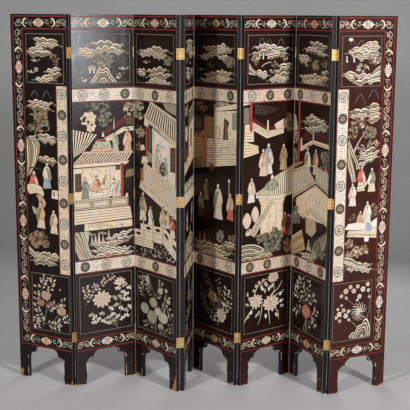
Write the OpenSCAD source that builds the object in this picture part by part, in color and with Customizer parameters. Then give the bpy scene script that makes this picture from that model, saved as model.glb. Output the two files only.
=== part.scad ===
// Folding screen of eight lacquered leaves, joined by brass butt hinges that fold
// to the back and to the front in turn. The front of the screen faces -Y.

/* [Leaf] */
// Height of a leaf from the floor to its top edge
leaf_h = 2130; // [1900:5:2400]
// Width of a leaf
leaf_w = 380; // [350:1:440]
// Thickness of the wood between the two coats
core_t = 24; // [21:0.5:32]
// Thickness of the lacquer coat on each face
coat_t = 1; // [0.6:0.1:1.6]

/* [Frame] */
// Width of a stile, which runs down into a foot
stile_w = 62; // [54:1:72]
// Height of the top rail
top_rail_h = 80; // [60:1:110]
// Height of the apron's upper edge above the floor
apron_top = 300; // [270:1:340]
// Number of boards side by side between the stiles
board_count = 3; // [2:1:4]
// Thickness of the tongues that join the wood
tongue_t = 8; // [6:0.5:10]
// Depth of the grooves that take the tongues
groove_d = 10; // [7:0.5:14]
// Wood left above the groove at the top of a stile
haunch_h = 15; // [10:1:25]

/* [Arch under the apron] */
// Height of the straight inner edge of a foot
foot_h = 125; // [110:1:135]
// Width of the blunt end of the apron's bracket
bracket_end = 3; // [2:0.5:5]
// Radius of the lower curve of the arch
shoulder_r = 34; // [28:1:38]
// Width of the step between the two curves
step_w = 6; // [3:1:10]
// Radius of the upper curve of the arch
head_r = 37; // [30:1:42]

/* [Hinges] */
// Height of a hinge
hinge_h = 60; // [54:1:70]
// Height of the lowest hinge's middle above the floor
hinge_low = 290; // [250:1:340]
// Distance of the highest hinge's middle from the top edge
hinge_drop = 208; // [150:1:280]
// Thickness of a hinge plate
plate_t = 1.6; // [1.6:0.1:2.2]
// Distance of a hinge plate from the far face of the leaf
plate_margin = 2; // [1.5:0.5:4]
// Radius of the barrel
barrel_r = 3.4; // [3:0.1:4.2]
// Number of knuckles in a barrel
knuckles = 5; // [3:2:7]
// Radius of the hinge pin
pin_r = 1.5; // [1.2:0.1:1.8]
// Radius of a screw's shank
screw_r = 1.6; // [1.2:0.1:1.8]
// Radius of a screw's countersunk head
screw_head_r = 3.1; // [2.8:0.1:3.3]
// Length of a screw
screw_l = 16; // [12:1:22]
// Spacing of the screws along a plate
screw_pitch = 19; // [16:0.5:21]

/* [Clearances] */
// Half of the gap between two leaves' edges when they lie flat
edge_gap = 0.5; // [0.4:0.1:1]
// Half of the gap between two leaves' faces when they are folded shut
face_gap = 0.5; // [0.4:0.1:1]
// Room around a barrel in the leaf that swings past it
barrel_clear = 0.4; // [0.3:0.1:0.8]
// Gap between two knuckles
knuckle_gap = 0.3; // [0.2:0.1:0.6]
// Radial clearance of the pin in its knuckles
pin_clear = 0.06; // [0.02:0.01:0.1]
// Clearance around a screw and around a tongue
fit_clear = 0.1; // [0.05:0.05:0.3]

/* [Folds] */
// Direction of the first leaf, in degrees from the run of the screen
first_dir = -24; // [-35:1:-12]
// Angle between leaves 1 and 2, in degrees: 0 is shut and 180 is flat
fold_1 = 121; // [100:1:150]
// Angle between leaves 2 and 3
fold_2 = 100; // [80:1:120]
// Angle between leaves 3 and 4
fold_3 = 48; // [30:1:70]
// Angle between leaves 4 and 5
fold_4 = 46; // [30:1:70]
// Angle between leaves 5 and 6
fold_5 = 92; // [70:1:120]
// Angle between leaves 6 and 7
fold_6 = 78; // [60:1:110]
// Angle between leaves 7 and 8
fold_7 = 89; // [70:1:120]

/* [Hidden] */
leaf_count = 8;
folds = [fold_1, fold_2, fold_3, fold_4, fold_5, fold_6, fold_7];

PIECES = ["boards", "stiles", "rails", "coats", "hinge_plates", "screws"];

$fn = 48;

leaf_t = core_t + 2 * coat_t;
inner_w = leaf_w - 2 * stile_w;
board_w = (inner_w - (board_count - 1) * fit_clear) / board_count;
boards_top = leaf_h - top_rail_h;
groove_low = foot_h + shoulder_r;
groove_high = leaf_h - haunch_h;
tongue_d = groove_d - fit_clear;
overcut = 5;

// The hinge pin stands just outside a corner of the leaf
pin_x = leaf_w / 2 + edge_gap;
pin_y = leaf_t / 2 + face_gap;
plate_w = leaf_t + face_gap - plate_margin;
knuckle_h = hinge_h / knuckles;
hinge_high = leaf_h - hinge_drop;
hinge_levels = [hinge_low, (hinge_low + hinge_high) / 2, hinge_high];
screw_y = -(plate_w + barrel_r) / 2;
screw_head_h = screw_head_r - screw_r;
screw_point_h = 2 * screw_r;
slot_w = screw_r / 2;
slot_d = screw_head_h / 3;

// A fold with an odd number has its pin at the back, and one with an even number at the front
function pin_side(fold) = fold % 2 == 1 ? 1 : -1;

function turned(angle, p) = [
    p.x * cos(angle) - p.y * sin(angle),
    p.x * sin(angle) + p.y * cos(angle)
];

function leaf_dir(k) = k == 1 ? first_dir
    : leaf_dir(k - 1) + pin_side(k - 1) * (180 - folds[k - 2]);

function from_last_leaf(k) = turned(leaf_dir(k - 1), [pin_x, pin_side(k - 1) * pin_y])
    - turned(leaf_dir(k), [-pin_x, pin_side(k - 1) * pin_y]);

function chain_place(k) = k == 1 ? [0, 0] : chain_place(k - 1) + from_last_leaf(k);

plan_corners = [
    for (k = [1 : leaf_count]) for (sx = [-0.5, 0.5]) for (sy = [-0.5, 0.5])
        chain_place(k) + turned(leaf_dir(k), [sx * leaf_w, sy * leaf_t])
];
plan_x = [for (p = plan_corners) p.x];
plan_y = [for (p = plan_corners) p.y];
plan_middle = [min(plan_x) + max(plan_x), min(plan_y) + max(plan_y)] / 2;

// Children are drawn with the leaf's middle at the origin, its width along X and its front to -Y
module at_leaf(k) {
    place = chain_place(k) - plan_middle;
    translate([place.x, place.y, 0]) rotate([0, 0, leaf_dir(k)]) children();
}

// Children are drawn for the right edge, with the pin at the back, and are mirrored to the edge asked for
module at_edge(edge, side) {
    if (edge > 0 && side > 0) children();
    if (edge < 0 && side > 0) mirror([1, 0, 0]) children();
    if (edge > 0 && side < 0) mirror([0, 1, 0]) children();
    if (edge < 0 && side < 0) rotate([0, 0, 180]) children();
}

// Children are drawn at each hinge of one edge of leaf k, with the pin's middle at the origin
module at_hinges(k, edge) {
    fold = edge > 0 ? k : k - 1;
    if (fold >= 1 && fold < leaf_count)
        at_edge(edge, pin_side(fold))
            for (level = hinge_levels) translate([pin_x, pin_y, level]) children();
}

module block(low, high) {
    translate(low) cube(high - low);
}

// Room that the arch takes from anything up to depth thick, from the floor to the arch's head
module arch(depth) {
    foot_in = inner_w / 2;
    curve_in = foot_in - bracket_end - shoulder_r;
    head_in = curve_in - step_w - head_r;
    step_z = foot_h + shoulder_r;
    block([-foot_in, -depth / 2, -overcut], [foot_in, depth / 2, foot_h]);
    block([-curve_in, -depth / 2, 0], [curve_in, depth / 2, step_z]);
    block([-head_in, -depth / 2, 0], [head_in, depth / 2, step_z + head_r]);
    for (way = [-1, 1]) {
        quarter(way, curve_in, foot_h, shoulder_r, depth);
        quarter(way, head_in, step_z, head_r, depth);
    }
}

// A quarter disc that rises from height z and reaches outward from x
module quarter(way, x, z, r, depth) {
    intersection() {
        translate([way * x, 0, z]) rotate([90, 0, 0]) cylinder(r = r, h = depth, center = true);
        translate([way * (x + r / 2), 0, z + r / 2]) cube([r, depth, r], center = true);
    }
}

module screw_profile(clear) {
    polygon([
        [0, 0],
        [screw_head_r + clear, 0],
        [screw_r + clear, -screw_head_h],
        [screw_r + clear, -screw_l + screw_point_h],
        [0, -screw_l - clear]
    ]);
}

// The screws of one hinge plate, with their heads flush with the leaf's edge
module at_screws() {
    for (i = [-1 : 1])
        translate([-edge_gap, screw_y, i * screw_pitch]) rotate([0, 90, 0]) children();
}

module screw() {
    difference() {
        rotate_extrude() screw_profile(0);
        cube([slot_w, 3 * screw_head_r, 2 * slot_d], center = true);
    }
}

module screw_hole() {
    rotate_extrude() screw_profile(fit_clear);
    translate([0, 0, -fit_clear]) cylinder(r = screw_head_r + fit_clear, h = overcut);
}

// Recess in the wood and the coats for one hinge plate, the barrel and the screws
module hinge_recess() {
    block([-edge_gap - plate_t, -plate_w, -hinge_h / 2], [overcut, overcut, hinge_h / 2]);
    cylinder(r = barrel_r + barrel_clear, h = hinge_h + 2 * knuckle_gap, center = true);
    at_screws() screw_hole();
}

module knuckle_span(i, radius, gap) {
    low = -hinge_h / 2 + i * knuckle_h + (i > 0 ? gap : 0);
    high = -hinge_h / 2 + (i + 1) * knuckle_h - (i < knuckles - 1 ? gap : 0);
    translate([0, 0, low]) cylinder(r = radius, h = high - low);
}

// One hinge plate: knuckles with an even place belong to the leaf on the left of the fold
module hinge_plate(first) {
    difference() {
        union() {
            block([-edge_gap - plate_t, -plate_w, -hinge_h / 2], [-edge_gap, 0, hinge_h / 2]);
            for (i = [first : 2 : knuckles - 1]) knuckle_span(i, barrel_r, knuckle_gap / 2);
        }
        for (i = [1 - first : 2 : knuckles - 1])
            knuckle_span(i, barrel_r + barrel_clear, -knuckle_gap / 2);
        cylinder(r = pin_r + pin_clear, h = hinge_h + 2 * overcut, center = true);
        at_screws() screw_hole();
    }
}

// One stile, on the right side, without its hinge recesses
module plain_stile() {
    difference() {
        block([inner_w / 2, -core_t / 2, 0], [leaf_w / 2, core_t / 2, leaf_h]);
        block(
            [inner_w / 2 - overcut, -tongue_t / 2, groove_low],
            [inner_w / 2 + groove_d, tongue_t / 2, groove_high]
        );
    }
}

// A tongue or a groove at mid-thickness, between two corners given as [x, z]
module tongue(low, high) {
    thin = tongue_t / 2 - fit_clear;
    block([low.x, -thin, low[1]], [high.x, thin, high[1]]);
}

module groove(low, high) {
    block([low.x, -tongue_t / 2, low[1]], [high.x, tongue_t / 2, high[1]]);
}

// Board i from the left: tongues at both ends and on the right, and a groove for its neighbour
module board(i) {
    left = -inner_w / 2 + i * (board_w + fit_clear);
    right = left + board_w;
    difference() {
        union() {
            block([left, -core_t / 2, apron_top], [right, core_t / 2, boards_top]);
            tongue([left, apron_top], [right + tongue_d, boards_top]);
            tongue([left, apron_top - tongue_d], [right, boards_top + tongue_d]);
            if (i == 0) tongue([left - tongue_d, apron_top], [right, boards_top]);
        }
        if (i > 0)
            groove(
                [left - overcut, apron_top - groove_d],
                [left + groove_d + fit_clear, boards_top + groove_d]
            );
    }
}

module leaf_boards() {
    color("tan") for (i = [0 : board_count - 1]) board(i);
}

module leaf_stiles(k) {
    color("#231c1e") for (edge = [-1, 1])
        difference() {
            at_edge(edge, 1) plain_stile();
            at_hinges(k, edge) hinge_recess();
        }
}

module leaf_rails() {
    rail_in = inner_w / 2;
    color("burlywood") {
        difference() {
            union() {
                block([-rail_in, -core_t / 2, boards_top], [rail_in, core_t / 2, leaf_h]);
                tongue([-rail_in - tongue_d, boards_top], [rail_in + tongue_d, groove_high - fit_clear]);
            }
            groove([-rail_in, boards_top - overcut], [rail_in, boards_top + groove_d]);
        }
        difference() {
            union() {
                block([-rail_in, -core_t / 2, foot_h], [rail_in, core_t / 2, apron_top]);
                tongue([-rail_in - tongue_d, groove_low + fit_clear], [rail_in + tongue_d, apron_top]);
            }
            arch(core_t + 2 * overcut);
            groove([-rail_in, apron_top - groove_d], [rail_in, apron_top + overcut]);
        }
    }
}

module leaf_coats(k) {
    color("#33191b") for (face = [-1, 1])
        difference() {
            translate([0, face * (core_t + coat_t) / 2, leaf_h / 2])
                cube([leaf_w, coat_t, leaf_h], center = true);
            arch(leaf_t + 2 * overcut);
            at_hinges(k, -1) hinge_recess();
            at_hinges(k, 1) hinge_recess();
        }
}

module leaf_hinge_plates(k) {
    color("goldenrod") {
        at_hinges(k, 1) hinge_plate(0);
        at_hinges(k, -1) hinge_plate(1);
    }
}

module leaf_screws(k) {
    color("darkgoldenrod") for (edge = [-1, 1])
        at_hinges(k, edge) at_screws() screw();
}

module fold_pins(k) {
    color("goldenrod") at_edge(1, pin_side(k)) for (level = hinge_levels)
        translate([pin_x, pin_y, level]) cylinder(r = pin_r, h = hinge_h, center = true);
}

for (k = [1 : leaf_count]) {
    at_leaf(k) leaf_boards();
    at_leaf(k) leaf_stiles(k);
    at_leaf(k) leaf_rails();
    at_leaf(k) leaf_coats(k);
    at_leaf(k) leaf_hinge_plates(k);
    at_leaf(k) leaf_screws(k);
}
for (k = [1 : leaf_count - 1]) {
    at_leaf(k) fold_pins(k);
}
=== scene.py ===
"""Folding screen of eight lacquered leaves. The frame is in metres. Pictures are drawn in millimetres:
u from the left edge of a leaf as its viewer sees it, and z from the floor. Each face of a leaf is drawn as
flat shapes that cover one another, then cut into one mesh with the coloured shapes below the lacquer."""
import math
import random
from contextlib import contextmanager

import bpy
import numpy as np
from mathutils import Matrix, Vector, geometry


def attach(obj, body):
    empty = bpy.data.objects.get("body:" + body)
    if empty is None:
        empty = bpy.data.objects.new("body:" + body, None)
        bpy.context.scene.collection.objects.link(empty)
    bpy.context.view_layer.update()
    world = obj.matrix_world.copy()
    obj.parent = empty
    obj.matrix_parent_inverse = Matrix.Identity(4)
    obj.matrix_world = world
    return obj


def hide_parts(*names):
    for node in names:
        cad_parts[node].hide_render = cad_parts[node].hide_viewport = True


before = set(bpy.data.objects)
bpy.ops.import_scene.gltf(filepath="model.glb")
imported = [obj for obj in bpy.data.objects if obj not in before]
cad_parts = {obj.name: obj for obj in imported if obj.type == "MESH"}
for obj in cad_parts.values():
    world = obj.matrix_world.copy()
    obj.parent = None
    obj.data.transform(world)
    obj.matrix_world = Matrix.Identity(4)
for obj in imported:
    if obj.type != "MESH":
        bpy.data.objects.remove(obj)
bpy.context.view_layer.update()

# ---------------------------------------------------------------- sizes, as in the part's source
LEAF_COUNT = 8
LEAF_W, LEAF_H, CORE_T, COAT_T = 380.0, 2130.0, 24.0, 1.0
LEAF_T = CORE_T + 2 * COAT_T
EDGE_GAP = FACE_GAP = 0.5
FIRST_DIR = -24.0
FOLDS = (121, 100, 48, 46, 92, 78, 89)
HINGE_LEVELS = (290.0, 1106.0, 1922.0)
HINGE_H = 60.0
BARREL_NOTCH = 3.3
BARREL_ROOM = 0.3
FOOT_W, FOOT_H, BRACKET_END = 62.0, 125.0, 3.0
SHOULDER_R, STEP_W, HEAD_R = 34.0, 6.0, 37.0
CUT = 0.3  # depth of the coloured, carved-out ground below the lacquer
MM = 0.001
LEAST_AREA = 0.3  # shapes of fewer square millimetres are left out


def pin_side(fold):
    """1 where the pins of a fold are at the back of the leaves, and -1 where they are at the front."""
    return 1 if fold % 2 else -1


def turned(angle, x, y):
    """A plan direction turned by an angle in degrees."""
    c, s = math.cos(math.radians(angle)), math.sin(math.radians(angle))
    return np.array([x * c - y * s, x * s + y * c])


def leaf_places():
    """Direction in degrees and middle in millimetres of each leaf, by its number."""
    pin = (LEAF_W / 2 + EDGE_GAP, LEAF_T / 2 + FACE_GAP)
    dirs, mids = {1: FIRST_DIR}, {1: np.zeros(2)}
    for k in range(2, LEAF_COUNT + 1):
        side = pin_side(k - 1)
        dirs[k] = dirs[k - 1] + side * (180 - FOLDS[k - 2])
        mids[k] = mids[k - 1] + turned(dirs[k - 1], pin[0], side * pin[1])
        mids[k] = mids[k] - turned(dirs[k], -pin[0], side * pin[1])
    corners = np.array([
        mids[k] + turned(dirs[k], sx * LEAF_W / 2, sy * LEAF_T / 2)
        for k in mids for sx in (-1, 1) for sy in (-1, 1)
    ])
    middle = (corners.min(0) + corners.max(0)) / 2
    return dirs, {k: mids[k] - middle for k in mids}


DIRS, MIDS = leaf_places()

# ---------------------------------------------------------------- pigments
# name: colour in sRGB, how much the ground shows through, roughness
PIGMENTS = {
    "cream": ((232, 216, 194), 0.10, 0.62),
    "white": ((238, 231, 222), 0.06, 0.60),
    "blush": ((230, 206, 192), 0.08, 0.62),
    "peach": ((222, 178, 148), 0.08, 0.62),
    "rose": ((214, 108, 100), 0.06, 0.60),
    "red": ((150, 52, 52), 0.12, 0.52),
    "orange": ((192, 100, 62), 0.10, 0.60),
    "mist": ((196, 196, 176), 0.10, 0.64),
    "sage": ((150, 152, 130), 0.14, 0.66),
    "green": ((86, 93, 76), 0.16, 0.66),
    "gold": ((192, 166, 118), 0.12, 0.50),
    "tan": ((158, 130, 98), 0.16, 0.64),
    "sand": ((186, 164, 134), 0.12, 0.62),
    "brown": ((80, 56, 40), 0.20, 0.60),
    "blue": ((166, 178, 196), 0.08, 0.62),
    "grey": ((136, 126, 116), 0.18, 0.60),
    "bare": ((196, 160, 118), 0.10, 0.80),
}
GROUND = 0
VOID = -2
PIGMENT_ID = {name: i + 1 for i, name in enumerate(PIGMENTS)}
PIGMENT_ID["line"] = GROUND
PIGMENT_ID["void"] = VOID


# ---------------------------------------------------------------- drawing kit
def ring(points):
    """Points as an array of places."""
    return np.asarray(points, float).reshape(-1, 2)


def area(points):
    """Area inside a closed ring, negative where it is wound clockwise."""
    x, y = points[:, 0], points[:, 1]
    return 0.5 * float(np.dot(x, np.roll(y, -1)) - np.dot(y, np.roll(x, -1)))


def clip_ring(points, rect):
    """The part of a closed ring inside the rectangle (u0, z0, u1, z1)."""
    sides = ((0, rect[0], 1), (0, rect[2], -1), (1, rect[1], 1), (1, rect[3], -1))
    for axis, limit, sign in sides:
        if len(points) < 3:
            return points
        inside = sign * (points[:, axis] - limit) >= 0
        if inside.all():
            continue
        out = []
        for i in range(len(points)):
            a, b = points[i - 1], points[i]
            if inside[i] != inside[i - 1]:
                t = (limit - a[axis]) / (b[axis] - a[axis])
                out.append(a + t * (b - a))
            if inside[i]:
                out.append(b)
        points = ring(out)
    return points


def offset(points, d):
    """A closed ring moved outward by d, or inward where d is negative."""
    if area(points) < 0:
        d = -d
    before = points - np.roll(points, 1, 0)
    after = np.roll(points, -1, 0) - points
    normals = []
    for e in (before, after):
        length = np.maximum(np.hypot(e[:, 0], e[:, 1]), 1e-6)
        normals.append(np.stack([e[:, 1] / length, -e[:, 0] / length], 1))
    mean = normals[0] + normals[1]
    size = np.maximum((mean ** 2).sum(1), 0.6)
    return points + mean * (2 * d / size)[:, None]


def spline(points, steps, closed=False):
    """Catmull-Rom curve through the points."""
    p = ring(points)
    if closed:
        p = np.vstack([p[-1], p, p[0], p[1]])
    else:
        p = np.vstack([2 * p[0] - p[1], p, 2 * p[-1] - p[-2]])
    t = (np.arange(steps) / steps)[:, None]
    out = []
    for a, b, c, d in zip(p[:-3], p[1:-2], p[2:-1], p[3:]):
        out.append(0.5 * (2 * b + (c - a) * t + (2 * a - 5 * b + 4 * c - d) * t ** 2
                          + (3 * b - a - 3 * c + d) * t ** 3))
    curve = np.vstack(out)
    return curve if closed else np.vstack([curve, p[-2]])


def blob(*points):
    """A closed curve through the points."""
    return spline(points, 3, closed=True)


def ellipse(x, z, rx, rz, n, lobes=0, depth=0.12, turn=0.0):
    """A closed oval; with lobes its outline is scalloped."""
    a = np.arange(n) * 2 * math.pi / n
    r = 1 - depth * (0.5 - 0.5 * np.cos(a * lobes)) if lobes else np.ones(n)
    p = np.stack([rx * r * np.cos(a), rz * r * np.sin(a)], 1)
    c, s = math.cos(turn), math.sin(turn)
    return p @ np.array([[c, s], [-s, c]]) + (x, z)


def box2(u0, z0, u1, z1):
    """An upright rectangle."""
    return ring([(u0, z0), (u1, z0), (u1, z1), (u0, z1)])


def almond(x, z, angle, length, width, n=6):
    """A leaf or petal from its root at x, z."""
    t = np.linspace(0, 1, n + 1)
    half = width / 2 * np.sin(math.pi * t ** 0.8)
    side = np.stack([t * length, half], 1)
    back = np.stack([t * length, -half], 1)[::-1][1:-1]
    p = np.vstack([side, back])
    c, s = math.cos(angle), math.sin(angle)
    return p @ np.array([[c, s], [-s, c]]) + (x, z)


def spiral(x, z, r, turns, start, way, n, inner=0.12):
    """A curl from its outer end, of radius r, to its inner one."""
    t = np.linspace(0, 1, n)
    radius = r * (1 - (1 - inner) * t)
    a = start + way * 2 * math.pi * turns * t
    return np.stack([x + radius * np.cos(a), z + radius * np.sin(a)], 1)


class Art:
    """Shapes of one face of one leaf, each later one covering the earlier ones."""

    def __init__(self, seed):
        self.shapes = []
        self.rng = random.Random(seed)
        self.matrix = np.eye(3)
        self.rect = (0.0, 0.0, LEAF_W, LEAF_H)

    @contextmanager
    def at(self, x, z, angle=0.0, scale=1.0, mirror=False):
        """Shapes inside are drawn in a frame at x, z, turned by angle in degrees."""
        kept = self.matrix
        c, s = math.cos(math.radians(angle)) * scale, math.sin(math.radians(angle)) * scale
        m = -1 if mirror else 1
        self.matrix = kept @ np.array([[c * m, -s, x], [s * m, c, z], [0, 0, 1]])
        yield
        self.matrix = kept

    @contextmanager
    def within(self, u0, z0, u1, z1):
        """Shapes inside are cut to this rectangle."""
        kept = self.rect
        p = self.moved(box2(u0, z0, u1, z1))
        low, high = p.min(0), p.max(0)
        self.rect = (max(kept[0], low[0]), max(kept[1], low[1]),
                     min(kept[2], high[0]), min(kept[3], high[1]))
        yield
        self.rect = kept

    def moved(self, points):
        """The points as they lie on the leaf."""
        return ring(points) @ self.matrix[:2, :2].T + self.matrix[:2, 2]

    def fill(self, pigment, *rings):
        """A shape of one or more rings, where a ring wound the other way is a hole."""
        kept = []
        for r in rings:
            r = clip_ring(self.moved(r), self.rect)
            if len(r) > 2 and abs(area(r)) > LEAST_AREA:
                kept.append(np.round(r, 2))
        if kept:
            self.shapes.append((PIGMENT_ID[pigment], kept))

    def outlined(self, pigment, points, line=1.7):
        """A closed shape with a lacquer line around it, nearly half of it outside the shape."""
        points = ring(points)
        self.fill("line", offset(points, line * 0.45))
        self.fill(pigment, offset(points, -line * 0.55))

    def hoop(self, pigment, points, width):
        """A closed line."""
        points = ring(points)
        if area(points) < 0:
            points = points[::-1]
        self.fill(pigment, offset(points, width / 2), offset(points, -width / 2)[::-1])

    def stroke(self, pigment, points, width, end=None):
        """An open line, which tapers to the width at its end."""
        p = ring(points)
        step = np.gradient(p, axis=0)
        length = np.maximum(np.hypot(step[:, 0], step[:, 1]), 1e-6)
        normal = np.stack([-step[:, 1] / length, step[:, 0] / length], 1)
        half = np.linspace(width, width if end is None else end, len(p))[:, None] / 2
        self.fill(pigment, np.vstack([p + normal * half, (p - normal * half)[::-1]]))


def mix(a, b, t):
    """The point at a share t of the way from a to b."""
    return (a[0] + (b[0] - a[0]) * t, a[1] + (b[1] - a[1]) * t)


def stripes(art, quad, count, light, dark, share=0.6):
    """A field in strips across its length. Its corners are bottom left, bottom right, top right, top left."""
    bl, br, tr, tl = quad
    art.outlined(dark, quad)
    for i in range(count):
        a, b = (i + 0.5 - share / 2) / count, (i + 0.5 + share / 2) / count
        art.fill(light, [mix(bl, br, a), mix(bl, br, b), mix(tl, tr, b), mix(tl, tr, a)])


def courses(art, quad, count, light, dark, share):
    """The same with strips along its length."""
    bl, br, tr, tl = quad
    stripes(art, (tl, bl, br, tr), count, light, dark, share)


def slab(art, pigment, *points, line=1.7):
    """A shape with straight sides between the points."""
    art.outlined(pigment, points, line)


def panel_line(art, u0, z0, u1, z1, width, pigment):
    """The outline of a rectangle."""
    art.hoop(pigment, box2(u0, z0, u1, z1), width)


# ---------------------------------------------------------------- borders
def lotus(art):
    """An open lotus, about 90 mm long and 54 mm high, around the origin."""
    light, heart = art.lotus
    for way in (0, math.pi):
        for d in (-0.42, 0.42):
            art.outlined(light, almond(0, 0, way + d, 37, 17, 5), 1.5)
        art.outlined(light, almond(0, 0, way, 46, 17, 5), 1.5)
    for i in range(6):
        a = (math.pi / 2 if i % 2 else -math.pi / 2) + (i // 2 - 1) * 0.52
        art.outlined(light, almond(0, 0, a, 28, 17, 5), 1.5)
    for i in range(6):
        a = (i + 0.5) * math.pi / 3
        art.outlined(heart, almond(0, 0, a, 18, 13, 4), 1.2)
    art.outlined(light, ellipse(0, 0, 7, 6, 9, 3, 0.2), 1.2)


def crescent(art, way):
    """A curled leaf that opens towards the lotus on its other side."""
    outer = spline([(-7, 27), (10, 23), (22, 4), (16, -15), (-4, -26)], 4)
    inner = spline([(-6, -20), (5, -14), (10, 0), (5, 12), (-8, 20)], 4)
    flip = np.array([way, 1])
    art.outlined("cream", np.vstack([outer, inner]) * flip, 1.2)
    art.stroke(art.vine, spiral(-5 * way, 1, 9, 1.0, 0.4, way, 14), 3.6, 2.0)


def scroll(art, a, b):
    """A waving stem from a to b along X, with a curl and leaves in each of its bays."""
    count = max(1, round((b - a) / 42))
    step = (b - a) / count
    size = min(14.0, step * 0.34)
    crests = [(a + (i + 0.5) * step, 19.0 if i % 2 else -19.0) for i in range(count)]
    art.stroke(art.vine, spline([(a, 0), *crests, (b, 0)], 7), 3.6, 3.0)
    for x, crest_z in crests:
        up = math.copysign(1.0, crest_z)
        curl = spiral(x, -4 * up, size, 1.25, 0.2 * up, -up, 20, 0.14)
        art.stroke(art.vine, np.vstack([(x + step * 0.44, 3 * up), curl]), 4.4, 2.2)
        art.fill(art.vine, ellipse(x, -4 * up, 3.2, 3.0, 7))
        art.fill("sage", almond(x - size * 1.1, 16 * up, math.pi - 0.6 * up, 9, 5.4, 4))
        art.fill(art.vine, almond(x + size * 0.9, -15 * up, -0.7 * up, 9, 5.0, 4))


CRESCENT_AT, CURL_AT, SCROLL_FROM = 92, 62, 114  # distances from the middle of a lotus
SHORTEST_SCROLL = 16


def lotus_border(art, length, first, places):
    """A running border along X around the line z = 0, with a flower at each of the places, left to right."""
    for x in places:
        with art.at(x, 0):
            lotus(art)
        for way in (-1, 1):
            with art.at(x + way * CRESCENT_AT, 0):
                crescent(art, way)
            with art.at(x + way * CURL_AT, 0):
                art.stroke(art.vine, spiral(0, 0, 14, 1.1, 1.2, way, 16), 4.0, 2.0)
                art.fill("sage", almond(-9, 12, 2.4, 12, 7, 4))
                art.fill("sage", almond(9, -12, -0.8, 12, 7, 4))
    edges = [first] + [p for x in places for p in (x - SCROLL_FROM, x + SCROLL_FROM)] + [length]
    for a, b in zip(edges[::2], edges[1::2]):
        if b - a >= SHORTEST_SCROLL:
            scroll(art, a, b)


def red_line(art, points, width=5.0):
    """A red line, given with the width of its groove."""
    art.stroke("red", points, width * 0.78)


def medallion(art, kind):
    """A round badge 56 mm across."""
    if kind == "dark":
        art.outlined("grey", ellipse(0, 0, 28, 28, 22), 4.2)
        art.hoop("line", ellipse(0, 0, 22, 22, 18), 2.2)
        art.fill("green", ellipse(0, 0, 20, 20, 16))
        for i in range(5):
            a = i * 1.257 + 0.6
            art.outlined("mist" if i % 2 else "sand",
                         almond(2 * math.cos(a), 2 * math.sin(a), a, 17, 10, 4), 1.4)
        art.fill("line", ellipse(0, 0, 2.6, 2.6, 6))
    else:
        art.outlined("white", ellipse(0, 0, 28, 28, 22), 4.6)
        art.hoop("mist", ellipse(0, 0, 22, 22, 18), 2.2)
        art.outlined("mist", blob((-17, 2), (-8, 14), (0, 10), (8, 15), (16, 2), (9, -14), (-8, -15)), 2.0)
        for a in (0.5, 1.6, 2.7, 3.9, 5.4):
            art.fill("line", almond(7 * math.cos(a), 7 * math.sin(a), a + 0.7, 12, 3.6, 3))
        art.outlined("peach", ellipse(-3, -1, 5, 4, 8), 1.2)


def medallion_band(art, length, places, kinds):
    """A pale band along X around z = 0, covered in a small diaper pattern, with badges at the places."""
    half = 33
    art.fill(art.band, box2(0, -half, length, half))
    rng = art.rng
    tints = "mist sage gold peach white rose mist white grey".split()
    x, odd, step, badge_room = 6.0, 0, 9, 32
    while x < length - 3:
        for row in range(-3 * step, 3 * step + 1, step):
            if min(math.hypot(x - p, row) for p in places) < badge_room:
                continue
            if (row // step + odd) % 2:
                art.fill(rng.choice(tints),
                         ring([(x - 4.0, row), (x, row - 4.0), (x + 4.0, row), (x, row + 4.0)]))
            else:
                art.fill("line" if rng.random() < 0.6 else "grey",
                         box2(x - 1.5, row - 1.5, x + 1.5, row + 1.5))
        x += step
        odd += 1
    for p, kind in zip(places, kinds):
        with art.at(p, 0):
            medallion(art, kind)


# ---------------------------------------------------------------- landscape pieces
# tones are given as one line of names, which the pieces take in turn
def crest(rng, a, b, base, rise, tilt, scale):
    """The top of one ridge: a low hill from a to b made of small scallops of uneven width."""
    x, edges = a, [a]
    while x < b - 16 * scale:
        x += rng.uniform(19, 42) * scale
        edges.append(min(x, b))
    edges[-1] = b
    heights = [rng.uniform(5.0, 11.0) * scale for _ in edges]
    peak = rng.uniform(0.3, 0.7)
    points = []
    for i in range(len(edges) - 1):
        for s in np.linspace(0, 1, 8)[:-1]:
            px = edges[i] + (edges[i + 1] - edges[i]) * s
            t = (px - a) / (b - a)
            hill = t / peak if t < peak else (1 - t) / (1 - peak)
            hump = heights[i] * math.sin(math.pi * s) ** 0.75
            points.append((px, base + rise * hill ** 1.2 + hump + tilt * (px - (a + b) / 2)))
    points.append((b, base + tilt * (b - a) / 2))
    return np.array(points)


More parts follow.
